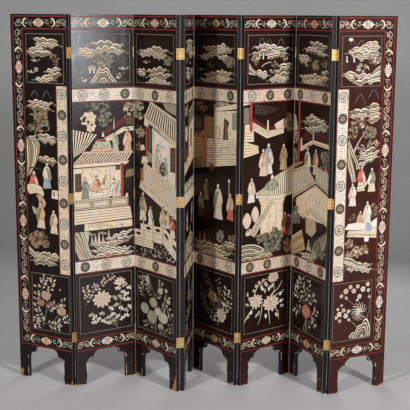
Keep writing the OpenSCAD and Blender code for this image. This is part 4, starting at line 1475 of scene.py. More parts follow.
# ---------------------------------------------------------------- what each leaf shows
TOPS = (top_1, top_2, top_3, top_4, top_5, top_6, top_7, top_8)
SCENES = (scene_1, scene_2, scene_3, scene_4, scene_5, scene_6, scene_7, scene_8)
FLOWERS = (flowers_1, flowers_2, flowers_3, flowers_4, flowers_5, flowers_6, flowers_7, flowers_8)
# petals and heart of the lotuses, stem of their border, ground of the badge bands
TRIM = {
    1: (("blush", "peach"), "mist", "cream"),
    2: (("white", "peach"), "cream", "white"),
    3: (("peach", "blush"), "mist", "cream"),
    4: (("cream", "blush"), "mist", "cream"),
    5: (("gold", "peach"), "mist", "cream"),
    6: (("cream", "white"), "cream", "blush"),
    7: (("peach", "rose"), "mist", "blush"),
    8: (("white", "blush"), "cream", "white"),
}
BADGE_KINDS = {
    2: ("light", "light", "dark"), 3: ("light", "dark", "light"), 4: ("dark", "light", "dark"),
    5: ("light", "light", "dark"), 6: ("light", "dark", "dark"), 7: ("dark", "light", "dark"),
}
# first and last u of the flower panel and of the panel along the top, and the field of the scene
INNER_FIELDS = ((24, 357), (28, 358), (0, 745, LEAF_W, 1649))
END_FIELDS = {
    1: ((103, 367), (105, 358), (88, 690, 304, 1745)),
    LEAF_COUNT: ((14, 272), (24, 280), (77, 690, 292, 1745)),
}
# places where the coat has come off at the feet, down to the wood
CHIPS = {
    1: (((0, 0), (0, 30), (9, 46), (20, 48), (26, 34), (22, 12), (14, 0)),
        ((364, 0), (372, 20), (380, 34), (380, 0))),
    2: (((0, 0), (0, 14), (12, 9), (20, 0)),),
    3: (((338, 0), (346, 14), (350, 32), (361, 44), (363, 64), (374, 82), (376, 104), (380, 118), (380, 0)),
        ((0, 0), (0, 22), (16, 16), (30, 19), (46, 8), (50, 0))),
    4: (((0, 0), (0, 52), (16, 44), (34, 30), (44, 10), (40, 0)),),
    5: (((0, 0), (0, 15), (18, 12), (36, 6), (42, 0)),
        ((330, 0), (338, 8), (356, 12), (372, 20), (380, 18), (380, 0))),
    6: (((0, 0), (0, 10), (10, 8), (16, 0)), ((366, 0), (372, 8), (380, 10), (380, 0))),
    7: (((350, 0), (360, 9), (372, 10), (380, 18), (380, 0)),),
    8: (((0, 0), (0, 8), (14, 6), (22, 0)), ((352, 0), (362, 10), (380, 14), (380, 0))),
}
PAINT_SPOTS = {3: (350, 76), 5: (352, 74), 7: (348, 78)}  # specks of pale paint at the arch
ARCH_LOW = -20


def arch_ring():
    """The opening between the feet, cut a little past the lower edge of the leaf."""
    mid, left = LEAF_W / 2, FOOT_W
    turn = np.linspace(0, math.pi / 2, 9)
    shoulder_x = left + BRACKET_END
    points = [(left, ARCH_LOW), (left, FOOT_H), (shoulder_x, FOOT_H)]
    centre = (shoulder_x + SHOULDER_R, FOOT_H)
    points += [(centre[0] - SHOULDER_R * math.cos(a),
                centre[1] + SHOULDER_R * math.sin(a)) for a in turn[1:]]
    step_x, step_z = centre[0] + STEP_W, centre[1] + SHOULDER_R
    points.append((step_x, step_z))
    points += [(step_x + HEAD_R - HEAD_R * math.cos(a), step_z + HEAD_R * math.sin(a)) for a in turn[1:]]
    right = [(2 * mid - x, z) for x, z in reversed(points)]
    return ring(points + right)


def worn_edges(art):
    """Pale bare lines along parts of the arch and the toes, where the lacquer is knocked off."""
    rng = art.rng
    outline = arch_ring()
    dense = spline(outline[2:-2], 3)
    i = 0
    while i < len(dense) - 6:
        run = rng.randint(3, 12)
        if rng.random() < 0.5:
            piece = dense[i:i + run]
            if len(piece) > 2:
                tone = "blush" if rng.random() < 0.6 else "grey"
                art.stroke(tone, piece, rng.uniform(3.0, 7.0), rng.uniform(2.0, 5.0))
        i += run
    for side in (FOOT_W, LEAF_W - FOOT_W):
        z = 0.0
        while z < FOOT_H:
            length = rng.uniform(8, 34)
            if rng.random() < 0.62:
                line = [(side + rng.uniform(-0.6, 0.6), z), (side, z + length * 0.5), (side, z + length)]
                art.stroke("blush", line, rng.uniform(4.0, 8.0), 3.0)
            z += length
    for foot in (0.0, LEAF_W - FOOT_W):
        x = foot
        while x < foot + FOOT_W:
            width = rng.uniform(5, 16)
            if rng.random() < 0.55:
                height = rng.uniform(2.0, 7.0)
                art.fill("sand", [(x, -1), (x + width * 0.2, height * 0.8), (x + width * 0.7, height),
                                  (x + width, -1)])
            x += width


def cut_outs(art, front_side, k):
    """The arch, and the room for the hinge barrels at this side of the leaf."""
    art.fill("void", arch_ring())
    for fold, right in ((k, True), (k - 1, False)):
        if not 1 <= fold < LEAF_COUNT:
            continue
        if (pin_side(fold) < 0) != front_side:
            continue
        at_right = right == front_side
        u0, u1 = (LEAF_W - BARREL_NOTCH, LEAF_W) if at_right else (0, BARREL_NOTCH)
        for z in HINGE_LEVELS:
            half = HINGE_H / 2 + BARREL_ROOM
            art.fill("void", box2(u0, z - half, u1, z + half))


def front_art(k):
    """The carved front of leaf k."""
    art = Art(100 + k)
    art.lotus, art.vine, art.band = TRIM[k]
    flower_span, top_span, scene_box = END_FIELDS.get(k, INNER_FIELDS)
    if k in END_FIELDS:
        mirror = k == LEAF_COUNT
        with art.at(LEAF_W if mirror else 0, 0, mirror=mirror):
            side_border(art)
            long_lines(art, END_OUTER, END_INNER)
            for z in (LOW_BAND, HIGH_BAND):
                long_border(art, z, BORDER_FLOWER, END_BORDER)
    else:
        long_lines(art)
        for z in (LOW_BAND, HIGH_BAND):
            long_border(art, z, BORDER_FLOWER)
        inner_bands(art, BADGE_KINDS[k])
    framed(art, top_span, TOP_FIELD, TOPS[k - 1])
    with art.within(*scene_box):
        SCENES[k - 1](art)
    framed(art, flower_span, FLOWER_FIELD, FLOWERS[k - 1])
    if k in PAINT_SPOTS:
        u, z = PAINT_SPOTS[k]
        art.fill("white", ellipse(u, z, 3.2, 2.6, 8, 3, 0.3))
        art.fill("white", ellipse(u + 7, z - 5, 1.6, 1.4, 6))
    worn_edges(art)
    for chip in CHIPS[k]:
        art.fill("void", chip)
    cut_outs(art, True, k)
    return art


# ---------------------------------------------------------------- the backs: tall plants over rocks
BACK_FIELD = (20, 306, LEAF_W - 20, 2022)
GRASS_FOOT = 316
MIDDLE = LEAF_W / 2


def inset(box, d):
    """The box with each side moved inward by d."""
    return box[0] + d, box[1] + d, box[2] - d, box[3] - d


def bamboo(art, u, z0, z1, width, lean, tone):
    """A jointed cane with leafy twigs at its upper joints."""
    rng = art.rng
    z = z0
    while z < z1:
        h = rng.uniform(90, 128)
        a, b = u + lean * (z - z0), u + lean * (z + h - z0)
        art.outlined(tone, [(a - width / 2, z), (a - width * 0.42, z + h * 0.5), (b - width / 2, z + h - 3),
                            (b + width / 2, z + h - 3), (a + width * 0.42, z + h * 0.5),
                            (a + width / 2, z)], 1.4)
        # a cream line down the left side of each joint: a painted highlight
        art.stroke("cream", [(a - width * 0.2, z + 6), (b - width * 0.2, z + h - 10)], 1.6)
        if z > z0 + 150:
            way = rng.choice((-1, 1))
            tip = (b + way * rng.uniform(34, 62), z + h + rng.uniform(24, 56))
            art.stroke(tone, spline([(b, z + h), mix((b, z + h), tip, 0.6), tip], 4), 2.6, 1.4)
            for i in range(9):
                angle = -math.pi / 2 + rng.uniform(-1.15, 1.15) + way * 0.3
                root = mix((b, z + h), tip, rng.uniform(0.35, 1.0))
                leaf(art, root[0], root[1], angle, rng.uniform(42, 66), 15,
                     rng.choice(("sage", "mist", "cream")))
        z += h


def grass(art, first, last, step, low):
    """A row of short blades along the lower edge."""
    for x in range(first, last, step):
        tip = (x + art.rng.uniform(-9, 9), low + art.rng.uniform(0, 34))
        art.stroke("green", [(x, GRASS_FOOT), tip], 3.4, 1.0)


def grove(art):
    """Canes over rocks, with two birds."""
    for u, tone, w in ((84, "green", 13), (300, "mist", 15), (190, "sage", 18), (136, "mist", 10),
                       (244, "green", 11)):
        lean = art.rng.uniform(-0.02, 0.03)
        bamboo(art, u, 380 + 20 * (w % 3), 1920 - 2 * abs(u - MIDDLE), w, lean, tone)
    rock(art, 120, 410, 92, 70, "tan", 2)
    rock(art, 276, 380, 72, 48, "sage", 1)
    bird(art, 250, 1240, 60, -1, "cream")
    bird(art, 120, 1560, 54, 1, "white")
    grass(art, 44, 344, 11, 344)


def bird(art, x, z, size, way, tone):
    """A long-tailed bird that sits on a branch."""
    s = size
    body = blob((-0.5, 0.0), (-0.2, 0.2), (0.2, 0.26), (0.5, 0.16), (0.56, 0.3), (0.74, 0.36), (0.86, 0.26),
                (0.72, 0.06), (0.4, -0.12), (0.0, -0.2), (-0.3, -0.14))
    art.outlined(tone, body * (s * way, s) + (x, z), 1.6)
    for d in (0.0, 0.09, 0.18):
        tail = [(x - 0.4 * s * way, z - d * s), (x - 1.0 * s * way, z - (0.2 + d) * s),
                (x - 1.7 * s * way, z - (0.5 + 1.4 * d) * s)]
        art.stroke(tone if d else "gold", spline(tail, 4), 0.1 * s, 1.6)
    for i in range(4):
        art.fill("sage", almond(x + (0.3 - 0.18 * i) * s * way, z + 0.06 * s, math.pi / 2 + way * 1.9,
                                0.32 * s, 0.1 * s, 3))
    art.fill("line", ellipse(x + 0.7 * s * way, z + 0.28 * s, 1.8, 1.8, 6))
    for u in (0.1, 0.24):
        art.fill("tan", box2(x + u * s * way - 1, z - 0.34 * s, x + u * s * way + 1, z - 0.12 * s))


def flowering(art, k):
    """A tall flowering branch over rocks, which sways the other way on the next leaf."""
    light, heart = (("blush", "rose"), ("cream", "peach"), ("peach", "blush"), ("white", "blush"))[k % 4]
    tones = "sage mist cream" if k % 2 else "mist sage white"
    leaves = tones.split()
    way = 1 if k % 2 else -1
    sways = ((-60, 380), (34, 640), (-46, 920), (54, 1230), (-34, 1520), (20, 1820), (-20, 1930))
    spine = [(MIDDLE + sway * way, z) for sway, z in sways]
    trunk(art, spine, 24, "tan" if k % 3 else "grey")
    curve = spline(spine, 6)
    for i in range(4, len(curve), 3):
        side = 1 if (i // 3) % 2 else -1
        x, z = curve[i]
        tip = (MIDDLE + side * art.rng.uniform(84, 128), z + art.rng.uniform(50, 120))
        bend = mix((x, z), tip, 0.5)
        bend = (bend[0], bend[1] - 14)
        spray(art, [(x, z), bend, tip], tones, 33, "leaf", 0.8, 6.0)
        r = art.rng.uniform(34, 52)
        for j in range(6):
            a = j * 1.05 + i
            leaf(art, tip[0] + r * 0.6 * math.cos(a), tip[1] + r * 0.6 * math.sin(a), a, r * 0.9, 18,
                 leaves[j % 3])
        peony(art, tip[0], tip[1], r, light, heart)
        if i % 2:
            peony(art, tip[0] - side * r * 1.3, tip[1] - r, r * 0.6, heart, light)
    bird(art, MIDDLE + 70 * way, 1010, 60, -way, "white")
    bird(art, MIDDLE - 60 * way, 1650, 54, way, "cream")
    rock(art, 150, 400, 96, 66, "sage" if k % 2 else "tan", 2)
    rock(art, 284, 376, 60, 46, "cream", 1)
    grass(art, 50, 340, 12, 340)


def lakeside(art):
    """Four views of a lake, one above the other."""
    for i, z in enumerate((1640, 1300, 980, 620)):
        x0, x1 = (30, 300) if i % 2 else (80, 352)
        ridges(art, x0, x1, z, z + 170, "cream mist gold sage", 0.05 if i % 2 else -0.05)
        foliage(art, 250 if i % 2 else 120, z + 190, 70, 46, 10)
        hut(art, 120 if i % 2 else 270, z + 150, 54, 56)
        boat(art, 250 if i % 2 else 110, z - 50, 76)
        water(art, 60, z - 90, 330, z - 30, 4)
    peaks(art, ((130, 1960, 40), (220, 1975, 46)))
    pine(art, 110, 340, 280, 90)
    rock(art, 250, 384, 78, 46, "tan", 2)


def back_art(k):
    """The back of leaf k."""
    art = Art(300 + k)
    art.lotus, art.vine = TRIM[k][0], "mist"
    long_lines(art)
    for z in (LOW_BAND, HIGH_BAND):
        long_border(art, z, LEAF_W / 2)
    thin_frame(art, *BACK_FIELD, "gold")
    with art.within(*inset(BACK_FIELD, 6)):
        if k in (2, 7):
            grove(art)
        elif k in (4, 5):
            lakeside(art)
        else:
            flowering(art, k)
    panel_line(art, *inset(BACK_FIELD, 10), 1.6, "sage")
    worn_edges(art)
    cut_outs(art, False, k)
    return art


# ---------------------------------------------------------------- from drawing to mesh
def shape_edges(rings):
    """First and last point of each edge of the rings."""
    start = np.vstack(rings)
    end = np.vstack([np.roll(r, -1, 0) for r in rings])
    return start, end


def wound(x, z, start, end):
    """Whether the points lie inside the rings, by their winding."""
    x, z = x[:, None], z[:, None]
    x0, z0, x1, z1 = start[:, 0], start[:, 1], end[:, 0], end[:, 1]
    side = (x1 - x0) * (z - z0) - (x - x0) * (z1 - z0)
    up = (z0 <= z) & (z1 > z) & (side > 0)
    down = (z0 > z) & (z1 <= z) & (side < 0)
    return (up.sum(1) - down.sum(1)) != 0


def classify(points, shapes):
    """Pigment of the topmost shape over each point, GROUND where there is none."""
    order = np.argsort(points[:, 1])
    x, z = points[order, 0], points[order, 1]
    found = np.full(len(points), GROUND)
    still = np.ones(len(points), bool)
    for pigment, rings in reversed(shapes):
        start, end = shape_edges(rings)
        low, high = start.min(0), start.max(0)
        i, j = np.searchsorted(z, (low[1], high[1]))
        if i == j:
            continue
        pick = i + np.flatnonzero(still[i:j] & (x[i:j] > low[0]) & (x[i:j] < high[0]))
        if not len(pick):
            continue
        pick = pick[wound(x[pick], z[pick], start, end)]
        found[pick] = pigment
        still[pick] = False
    result = np.empty(len(points), int)
    result[order] = found
    return result


def triangulate(points, edges):
    """Constrained Delaunay triangles of the points, all wound the same way, without those of no size."""
    whole, merged, flat = 0, 1e-4, 1e-7  # all triangles; points nearer than this are one; least double area
    places = [Vector(p) for p in points.tolist()]
    out = geometry.delaunay_2d_cdt(places, edges.tolist(), [], whole, merged, False)
    verts = np.array([(v[0], v[1]) for v in out[0]])
    tris = np.array(out[2])
    a, b, c = (verts[tris[:, i]] for i in range(3))
    cross = (b[:, 0] - a[:, 0]) * (c[:, 1] - a[:, 1]) - (b[:, 1] - a[:, 1]) * (c[:, 0] - a[:, 0])
    tris[cross < 0] = tris[cross < 0][:, ::-1]
    return verts, tris[np.abs(cross) > flat]


def edge_sides(tris, count):
    """Each edge once, as its owner has it, with its owner and the triangle at its other side or -1."""
    edges = np.concatenate([tris[:, [0, 1]], tris[:, [1, 2]], tris[:, [2, 0]]])
    owner = np.tile(np.arange(len(tris)), 3)
    key = edges.min(1).astype(np.int64) * count + edges.max(1)
    order = np.argsort(key, kind="stable")
    key, owner, edges = key[order], owner[order], edges[order]
    first = np.flatnonzero(np.r_[True, key[1:] != key[:-1]])
    paired = np.r_[key[1:] == key[:-1], False][first]
    other = np.where(paired, owner[np.minimum(first + 1, len(owner) - 1)], -1)
    return edges[first], owner[first], other


def straightened(points, edges):
    """The same lines without the points on straight stretches, apart from those on the leaf's rim."""
    slack, passes, near = 0.06, 6, 0.01
    fixed = ((points < near) | (points > (LEAF_W - near, LEAF_H - near))).any(1)
    for _ in range(passes):
        flat, other = edges.ravel(), edges[:, ::-1].ravel()
        order = np.argsort(flat, kind="stable")
        degree = np.bincount(flat, minlength=len(points))
        start = np.searchsorted(flat[order], np.arange(len(points)))
        v = np.flatnonzero((degree == 2) & ~fixed)
        if not len(v):
            break
        one, two = order[start[v]], order[start[v] + 1]
        a, b = other[one], other[two]
        run, leg = points[b] - points[a], points[v] - points[a]
        length = np.maximum(np.hypot(run[:, 0], run[:, 1]), 1e-6)
        off = np.abs(run[:, 0] * leg[:, 1] - run[:, 1] * leg[:, 0]) / length
        along = (run * leg).sum(1) / length ** 2
        good = (off < slack) & (along > 0) & (along < 1) & (a != b)
        candidate = np.zeros(len(points), bool)
        candidate[v[good]] = True
        chosen = good & ~(candidate[a] & (a > v)) & ~(candidate[b] & (b > v))
        keep = np.ones(len(edges), bool)
        keep[one[chosen] // 2] = False
        keep[two[chosen] // 2] = False
        edges = np.vstack([edges[keep], np.stack([a[chosen], b[chosen]], 1)])
    used = np.unique(edges)
    index = np.zeros(len(points), int)
    index[used] = np.arange(len(used))
    return points[used], index[edges]


STRIP = LEAF_H / 3  # the bake layout holds each face as three strips side by side
GUTTER, MARGIN = 6, 4
BAKE_SIDE = 2 * STRIP + 2 * GUTTER
HIDDEN_PLACE, HIDDEN_SCALE, HIDDEN_STEP = (1180, 20), 0.08, 300  # the undersides, which don't show, are small


def planar_map(art):
    """Vertices in mm, triangles and their pigments, with only the needed lines."""
    rings = [box2(0, 0, LEAF_W, LEAF_H)] + [r for _, rs in art.shapes for r in rs]
    points, edges, base = [], [], 0
    for r in rings:
        n = len(r)
        points.append(r)
        index = np.arange(n) + base
        edges.append(np.stack([index, np.roll(index, -1)], 1))
        base += n
    verts, tris = triangulate(np.vstack(points), np.vstack(edges))
    pigment = classify(verts[tris].mean(1), art.shapes)
    sides, owner, other = edge_sides(tris, len(verts))
    beyond = np.where(other < 0, VOID, pigment[other])
    lines = sides[pigment[owner] != beyond]
    verts, lines = straightened(verts, lines)
    seams = [(x, z) for z in (STRIP, 2 * STRIP) for x in (0, LEAF_W)]
    extra = np.array(seams + [(0, 0), (LEAF_W, 0)], float)
    n = len(verts)
    more = np.array([(n, n + 1), (n + 2, n + 3)])
    verts, tris = triangulate(np.vstack([verts, extra]), np.vstack([lines, more]))
    middle = verts[tris].mean(1)
    return verts, tris, classify(middle, art.shapes)


def place_keys(points):
    """One whole number for each point, from its place in hundredths of a millimetre."""
    return (np.round(points * 100).astype(np.int64) * (10 ** 7, 1)).sum(1)


def relief(art):
    """Closed mesh of a coat: points as u, z, depth in mm, triangles, pigment and leaf-plane copy of each."""
    verts, tris, pigment = planar_map(art)
    kept = pigment != VOID
    level = np.where(pigment == GROUND, 0, 1)
    n = len(verts)
    depth = np.array([0.0, CUT, COAT_T])
    faces = [tris[kept] + n * level[kept][:, None]]
    tones = [pigment[kept]]
    sides, owner, other = edge_sides(tris, n)
    a_kept = kept[owner]
    b_kept = (other >= 0) & kept[other]
    step = a_kept & b_kept & (level[owner] != level[other])
    rim = a_kept != b_kept

    def walls(edge, swap, top, low):
        """Upright faces along the edges, between two of the three levels."""
        a, b = np.where(swap, edge[:, 1], edge[:, 0]), np.where(swap, edge[:, 0], edge[:, 1])
        quad = np.stack([a + n * top, a + n * low, b + n * low, b + n * top], 1)
        faces.extend([quad[:, [0, 1, 2]], quad[:, [0, 2, 3]]])
        tones.extend([np.full(len(edge), GROUND)] * 2)

    lower = level[owner[step]] == 1
    walls(sides[step], lower, 0, 1)
    inner_side = ~a_kept[rim]
    rim_level = np.where(a_kept[rim], level[owner[rim]], level[other[rim]])
    walls(sides[rim], inner_side, rim_level, 2)
    edge = sides[rim]
    used, index = np.unique(edge, return_inverse=True)
    inner, inner_tris = triangulate(verts[used], index.reshape(-1, 2))
    hidden = classify(inner[inner_tris].mean(1), [s for s in art.shapes if s[0] == VOID])
    inner_tris = inner_tris[hidden != VOID][:, ::-1]
    keys = place_keys(verts[used])
    order = np.argsort(keys)
    match = used[order[np.minimum(np.searchsorted(keys[order], place_keys(inner)), len(order) - 1)]]
    faces.append(match[inner_tris] + 2 * n)
    tones.append(np.full(len(inner_tris), GROUND))
    faces, tones = np.vstack(faces), np.concatenate(tones)
    points = np.column_stack([np.tile(verts, (3, 1)), np.repeat(depth, n)])
    used, index = np.unique(faces, return_inverse=True)
    return points[used], index.reshape(-1, 3), tones


def leaf_world(k, points, face):
    """World metres of points given as u, z and depth in mm on the front (face -1) or back (face 1)."""
    x = -face * (points[:, 0] - LEAF_W / 2)
    y = face * (LEAF_T / 2 - points[:, 2])
    a = math.radians(DIRS[k])
    wx = MIDS[k][0] + x * math.cos(a) - y * math.sin(a)
    wy = MIDS[k][1] + x * math.sin(a) + y * math.cos(a)
    return np.stack([wx, wy, points[:, 1]], 1) * MM


def bake_layout(points, tris, face):
    """Place of each corner in the bake square, whose side is BAKE_SIDE millimetres at full size."""
    p = points[tris]
    back = face > 0
    strip = np.clip((p[:, :, 1].mean(1) // STRIP).astype(int), 0, 2)
    u = p[:, :, 0] + (strip * (LEAF_W + GUTTER))[:, None] + MARGIN
    v = p[:, :, 1] - (strip * STRIP)[:, None] + (STRIP if back else 0) + MARGIN
    hidden = (p[:, :, 2] > COAT_T - 1e-6).all(1)[:, None]
    u = np.where(hidden, HIDDEN_PLACE[0] + p[:, :, 0] * HIDDEN_SCALE, u)
    v = np.where(hidden, HIDDEN_PLACE[1] + p[:, :, 1] * HIDDEN_SCALE + (HIDDEN_STEP if back else 0), v)
    return np.stack([u, v], 2) / BAKE_SIDE


def placed(name, data):
    """A new object in the scene."""
    piece = bpy.data.objects.new(name, data)
    bpy.context.scene.collection.objects.link(piece)
    return piece


def coat(k, materials):
    """The lacquer of both faces of leaf k in one mesh, flat shaded."""
    faces = []
    for face, art in ((-1, front_art(k)), (1, back_art(k))):
        points, tris, tones = relief(art)
        faces.append((leaf_world(k, points, face), points, tris, tones, bake_layout(points, tris, face)))
    front, back = faces
    verts, local = (np.vstack([front[i], back[i]]) for i in (0, 1))
    tris = np.vstack([front[2], back[2] + len(front[0])])
    tones = np.concatenate([front[3], back[3]])
    corners_uv = np.vstack([front[4], back[4]])
    mesh = bpy.data.meshes.new(f"leaf_{k}_lacquer")
    mesh.vertices.add(len(verts))
    mesh.vertices.foreach_set("co", verts.astype(np.float32).ravel())
    mesh.loops.add(3 * len(tris))
    mesh.loops.foreach_set("vertex_index", tris.astype(np.int32).ravel())
    mesh.polygons.add(len(tris))
    mesh.polygons.foreach_set("loop_start", np.arange(0, 3 * len(tris), 3, dtype=np.int32))
    mesh.polygons.foreach_set("material_index", tones.astype(np.int32))
    mesh.polygons.foreach_set("use_smooth", np.zeros(len(tris), dtype=bool))
    mesh.update(calc_edges=True)
    mesh.uv_layers.new(name="OFBake").data.foreach_set("uv", corners_uv.astype(np.float32).ravel())
    place = mesh.attributes.new("leaf", "FLOAT_VECTOR", "POINT")
    place.data.foreach_set("vector", (local * MM).astype(np.float32).ravel())
    for material in materials:
        mesh.materials.append(material)
    piece = placed(f"leaf_{k}_lacquer", mesh)
    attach(piece, f"leaf_{k}")
    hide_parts(f"leaf_{k}_coats")


# ---------------------------------------------------------------- materials
def linear(srgb):
    """RGBA for a shader from sRGB in 0 to 255."""
    shares = (c / 255 for c in srgb)
    return (*(c / 12.92 if c <= 0.04045 else ((c + 0.055) / 1.055) ** 2.4 for c in shares), 1.0)


def times(srgb, factor):
    """The colour with each channel times a factor, or times its own one of three."""
    factors = factor if isinstance(factor, tuple) else (factor,) * 3
    return tuple(min(255, c * f) for c, f in zip(srgb, factors))


class Surface:
    """A node material that is built step by step. Values given to it are sockets or constants."""

    def __init__(self, name):
        self.material = bpy.data.materials.new(name)
        self.material.use_nodes = True
        self.tree = self.material.node_tree
        self.tree.nodes.clear()
        self.shader = self.tree.nodes.new("ShaderNodeBsdfPrincipled")
        output = self.tree.nodes.new("ShaderNodeOutputMaterial")
        self.tree.links.new(self.shader.outputs["BSDF"], output.inputs["Surface"])
        self.coords = self.tree.nodes.new("ShaderNodeTexCoord")

    def put(self, socket, value):
        """Link a socket to the value, or set it to the constant."""
        if isinstance(value, bpy.types.NodeSocket):
            self.tree.links.new(value, socket)
        else:
            socket.default_value = value

    def set(self, node, **values):
        """Fill inputs of a node; an underscore stands for the space in a name."""
        for name, value in values.items():
            self.put(node.inputs[name.replace("_", " ")], value)
        return node

    def add(self, kind, **values):
        """A new node with these inputs."""
        return self.set(self.tree.nodes.new(kind), **values)

    def shade(self, **values):
        """Set inputs of the surface's own shader."""
        self.set(self.shader, **values)

    def clear_from_behind(self):
        """Let light and sight through where the sheet is seen from its back."""
        nodes = self.tree.nodes
        both = nodes.new("ShaderNodeMixShader")
        self.put(both.inputs["Fac"], nodes.new("ShaderNodeNewGeometry").outputs["Backfacing"])
        self.put(both.inputs[1], self.shader.outputs["BSDF"])
        self.put(both.inputs[2], nodes.new("ShaderNodeBsdfTransparent").outputs["BSDF"])
        self.put(nodes["Material Output"].inputs["Surface"], both.outputs["Shader"])

    def mapped(self, kind, source, **values):
        """Coordinates or normals through a mapping node of one kind."""
        node = self.tree.nodes.new("ShaderNodeMapping")
        node.vector_type = kind
        return self.set(node, Vector=source, **values).outputs["Vector"]

    def stretched(self, scale, source=None):
        """Coordinates scaled along each axis: the object's own, or those of the source."""
        return self.mapped("POINT", source or self.coords.outputs["Object"], Scale=scale)

    def noise(self, scale, detail, rough=0.55, source=None, warp=0.0):
        """Soft noise in the object's coordinates, or in those of the source."""
        return self.add("ShaderNodeTexNoise", Vector=source or self.coords.outputs["Object"], Scale=scale,
                        Detail=detail, Roughness=rough, Distortion=warp).outputs["Fac"]

    def cells(self, scale, source):
        """Distance to the nearest edge of a random cell."""
        node = self.tree.nodes.new("ShaderNodeTexVoronoi")
        node.feature = "DISTANCE_TO_EDGE"
        return self.set(node, Vector=source, Scale=scale).outputs["Distance"]

    def fit(self, value, low, high, to_low=0.0, to_high=1.0):
        """The value moved from one range to another, and held within it."""
        return self.add("ShaderNodeMapRange", Value=value, From_Min=low, From_Max=high,
                        To_Min=to_low, To_Max=to_high).outputs["Result"]

    def combine(self, operation, a, b=0.0):
        """One step of arithmetic."""
        node = self.tree.nodes.new("ShaderNodeMath")
        node.operation = operation
        self.put(node.inputs[0], a)
        self.put(node.inputs[1], b)
        return node.outputs["Value"]

    def product(self, a, b):
        return self.combine("MULTIPLY", a, b)

    def plus(self, a, b):
        return self.combine("ADD", a, b)

    def minus(self, a, b):
        return self.combine("SUBTRACT", a, b)

    def most(self, a, b):
        return self.combine("MAXIMUM", a, b)

    def blend(self, amount, a, b):
        """Colour a where the amount is 0, and b where it is 1."""
        node = self.tree.nodes.new("ShaderNodeMix")
        node.data_type = "RGBA"
        self.set(node, Factor=amount, A=a, B=b)
        return next(o for o in node.outputs if o.type == "RGBA")

    def axes(self, vector):
        return self.add("ShaderNodeSeparateXYZ", Vector=vector).outputs

    def attribute(self, name):
        """A value that is stored with the points of the mesh."""
        node = self.tree.nodes.new("ShaderNodeAttribute")
        node.attribute_name = name
        return node.outputs["Vector"]

    def bump(self, height, distance, strength, after=None):
        """The normal bent by a height, on top of another bump if there is one."""
        node = self.add("ShaderNodeBump", Distance=distance, Strength=strength, Height=height)
        if after:
            self.put(node.inputs["Normal"], after)
        return node.outputs["Normal"]


# ground tone of each leaf's lacquer in sRGB: leaf 2's lighter, bluer tone is a painted sheen, and leaf 8's
# lighter red is partly the lacquer's own colour and partly painted light
GROUND_AND_PAINTED_LIGHT_TONES = {
    1: (25, 14, 10), 2: (42, 27, 26), 3: (34, 20, 15), 4: (32, 18, 14),
    5: (32, 18, 13), 6: (42, 21, 16), 7: (40, 21, 15), 8: (66, 30, 22),
}
SHEEN, PLAIN_SHEEN = {2: 0.5, 8: 0.26}, 0.22  # specular level of the lacquer
GLOSS, PLAIN_GLOSS = {2: (0.16, 0.30)}, (0.24, 0.42)  # its least and greatest roughness
RUBBED, SCUFFED, WORN = (70, 50, 44), (142, 112, 92), (156, 118, 88)
EDGE_BLACK, EDGE_BLUE, EDGE_STREAK = (9, 14, 19), (22, 30, 38), (52, 56, 60)
EDGE_FLECK, EDGE_WORN = (118, 112, 102), (150, 128, 104)
WOOD_DARK, WOOD_LIGHT, WOOD_FIBRE, WOOD_DIRT = (150, 106, 68), (206, 160, 112), (112, 78, 50), (92, 66, 48)
BRASS_SPOT = (94, 70, 40)


def pigment_surface(name, srgb, show, rough):
    """Water paint laid in the carved ground: chalky, mottled and rubbed through in specks."""
    s = Surface(f"pigment_{name}")
    broad = s.fit(s.noise(9, 3), 0.3, 0.7)
    brush = s.fit(s.noise(60, 4, source=s.stretched((1, 1, 0.35))), 0.28, 0.72)
    grain = s.noise(700, 3, 0.7)
    light, dark, warm = times(srgb, 1.06), times(srgb, 0.86), times(srgb, (1.0, 0.93, 0.82))
    base = s.blend(broad, linear(warm), linear(srgb))
    base = s.blend(brush, s.blend(0.55, base, linear(dark)), base)
    base = s.blend(s.fit(grain, 0.45, 0.75, 0, 0.5), base, linear(light))
    rub = s.product(s.fit(s.noise(38, 5, 0.7, warp=0.6), 0.60 - show * 0.5, 0.68 - show * 0.3),
                    s.fit(s.noise(330, 4, 0.75), 0.44, 0.60))
    base = s.blend(s.product(rub, 0.8), base, linear(RUBBED))
    heights = s.plus(s.product(brush, 0.5), s.product(grain, 0.5))
    heights = s.minus(heights, s.product(rub, 0.4))
    s.shade(Base_Color=base, Roughness=s.fit(s.noise(120, 3), 0.3, 0.7, rough - 0.1, rough + 0.14),
            Normal=s.bump(heights, 0.00022, 0.6), Specular_IOR_Level=0.28)
    return s.material


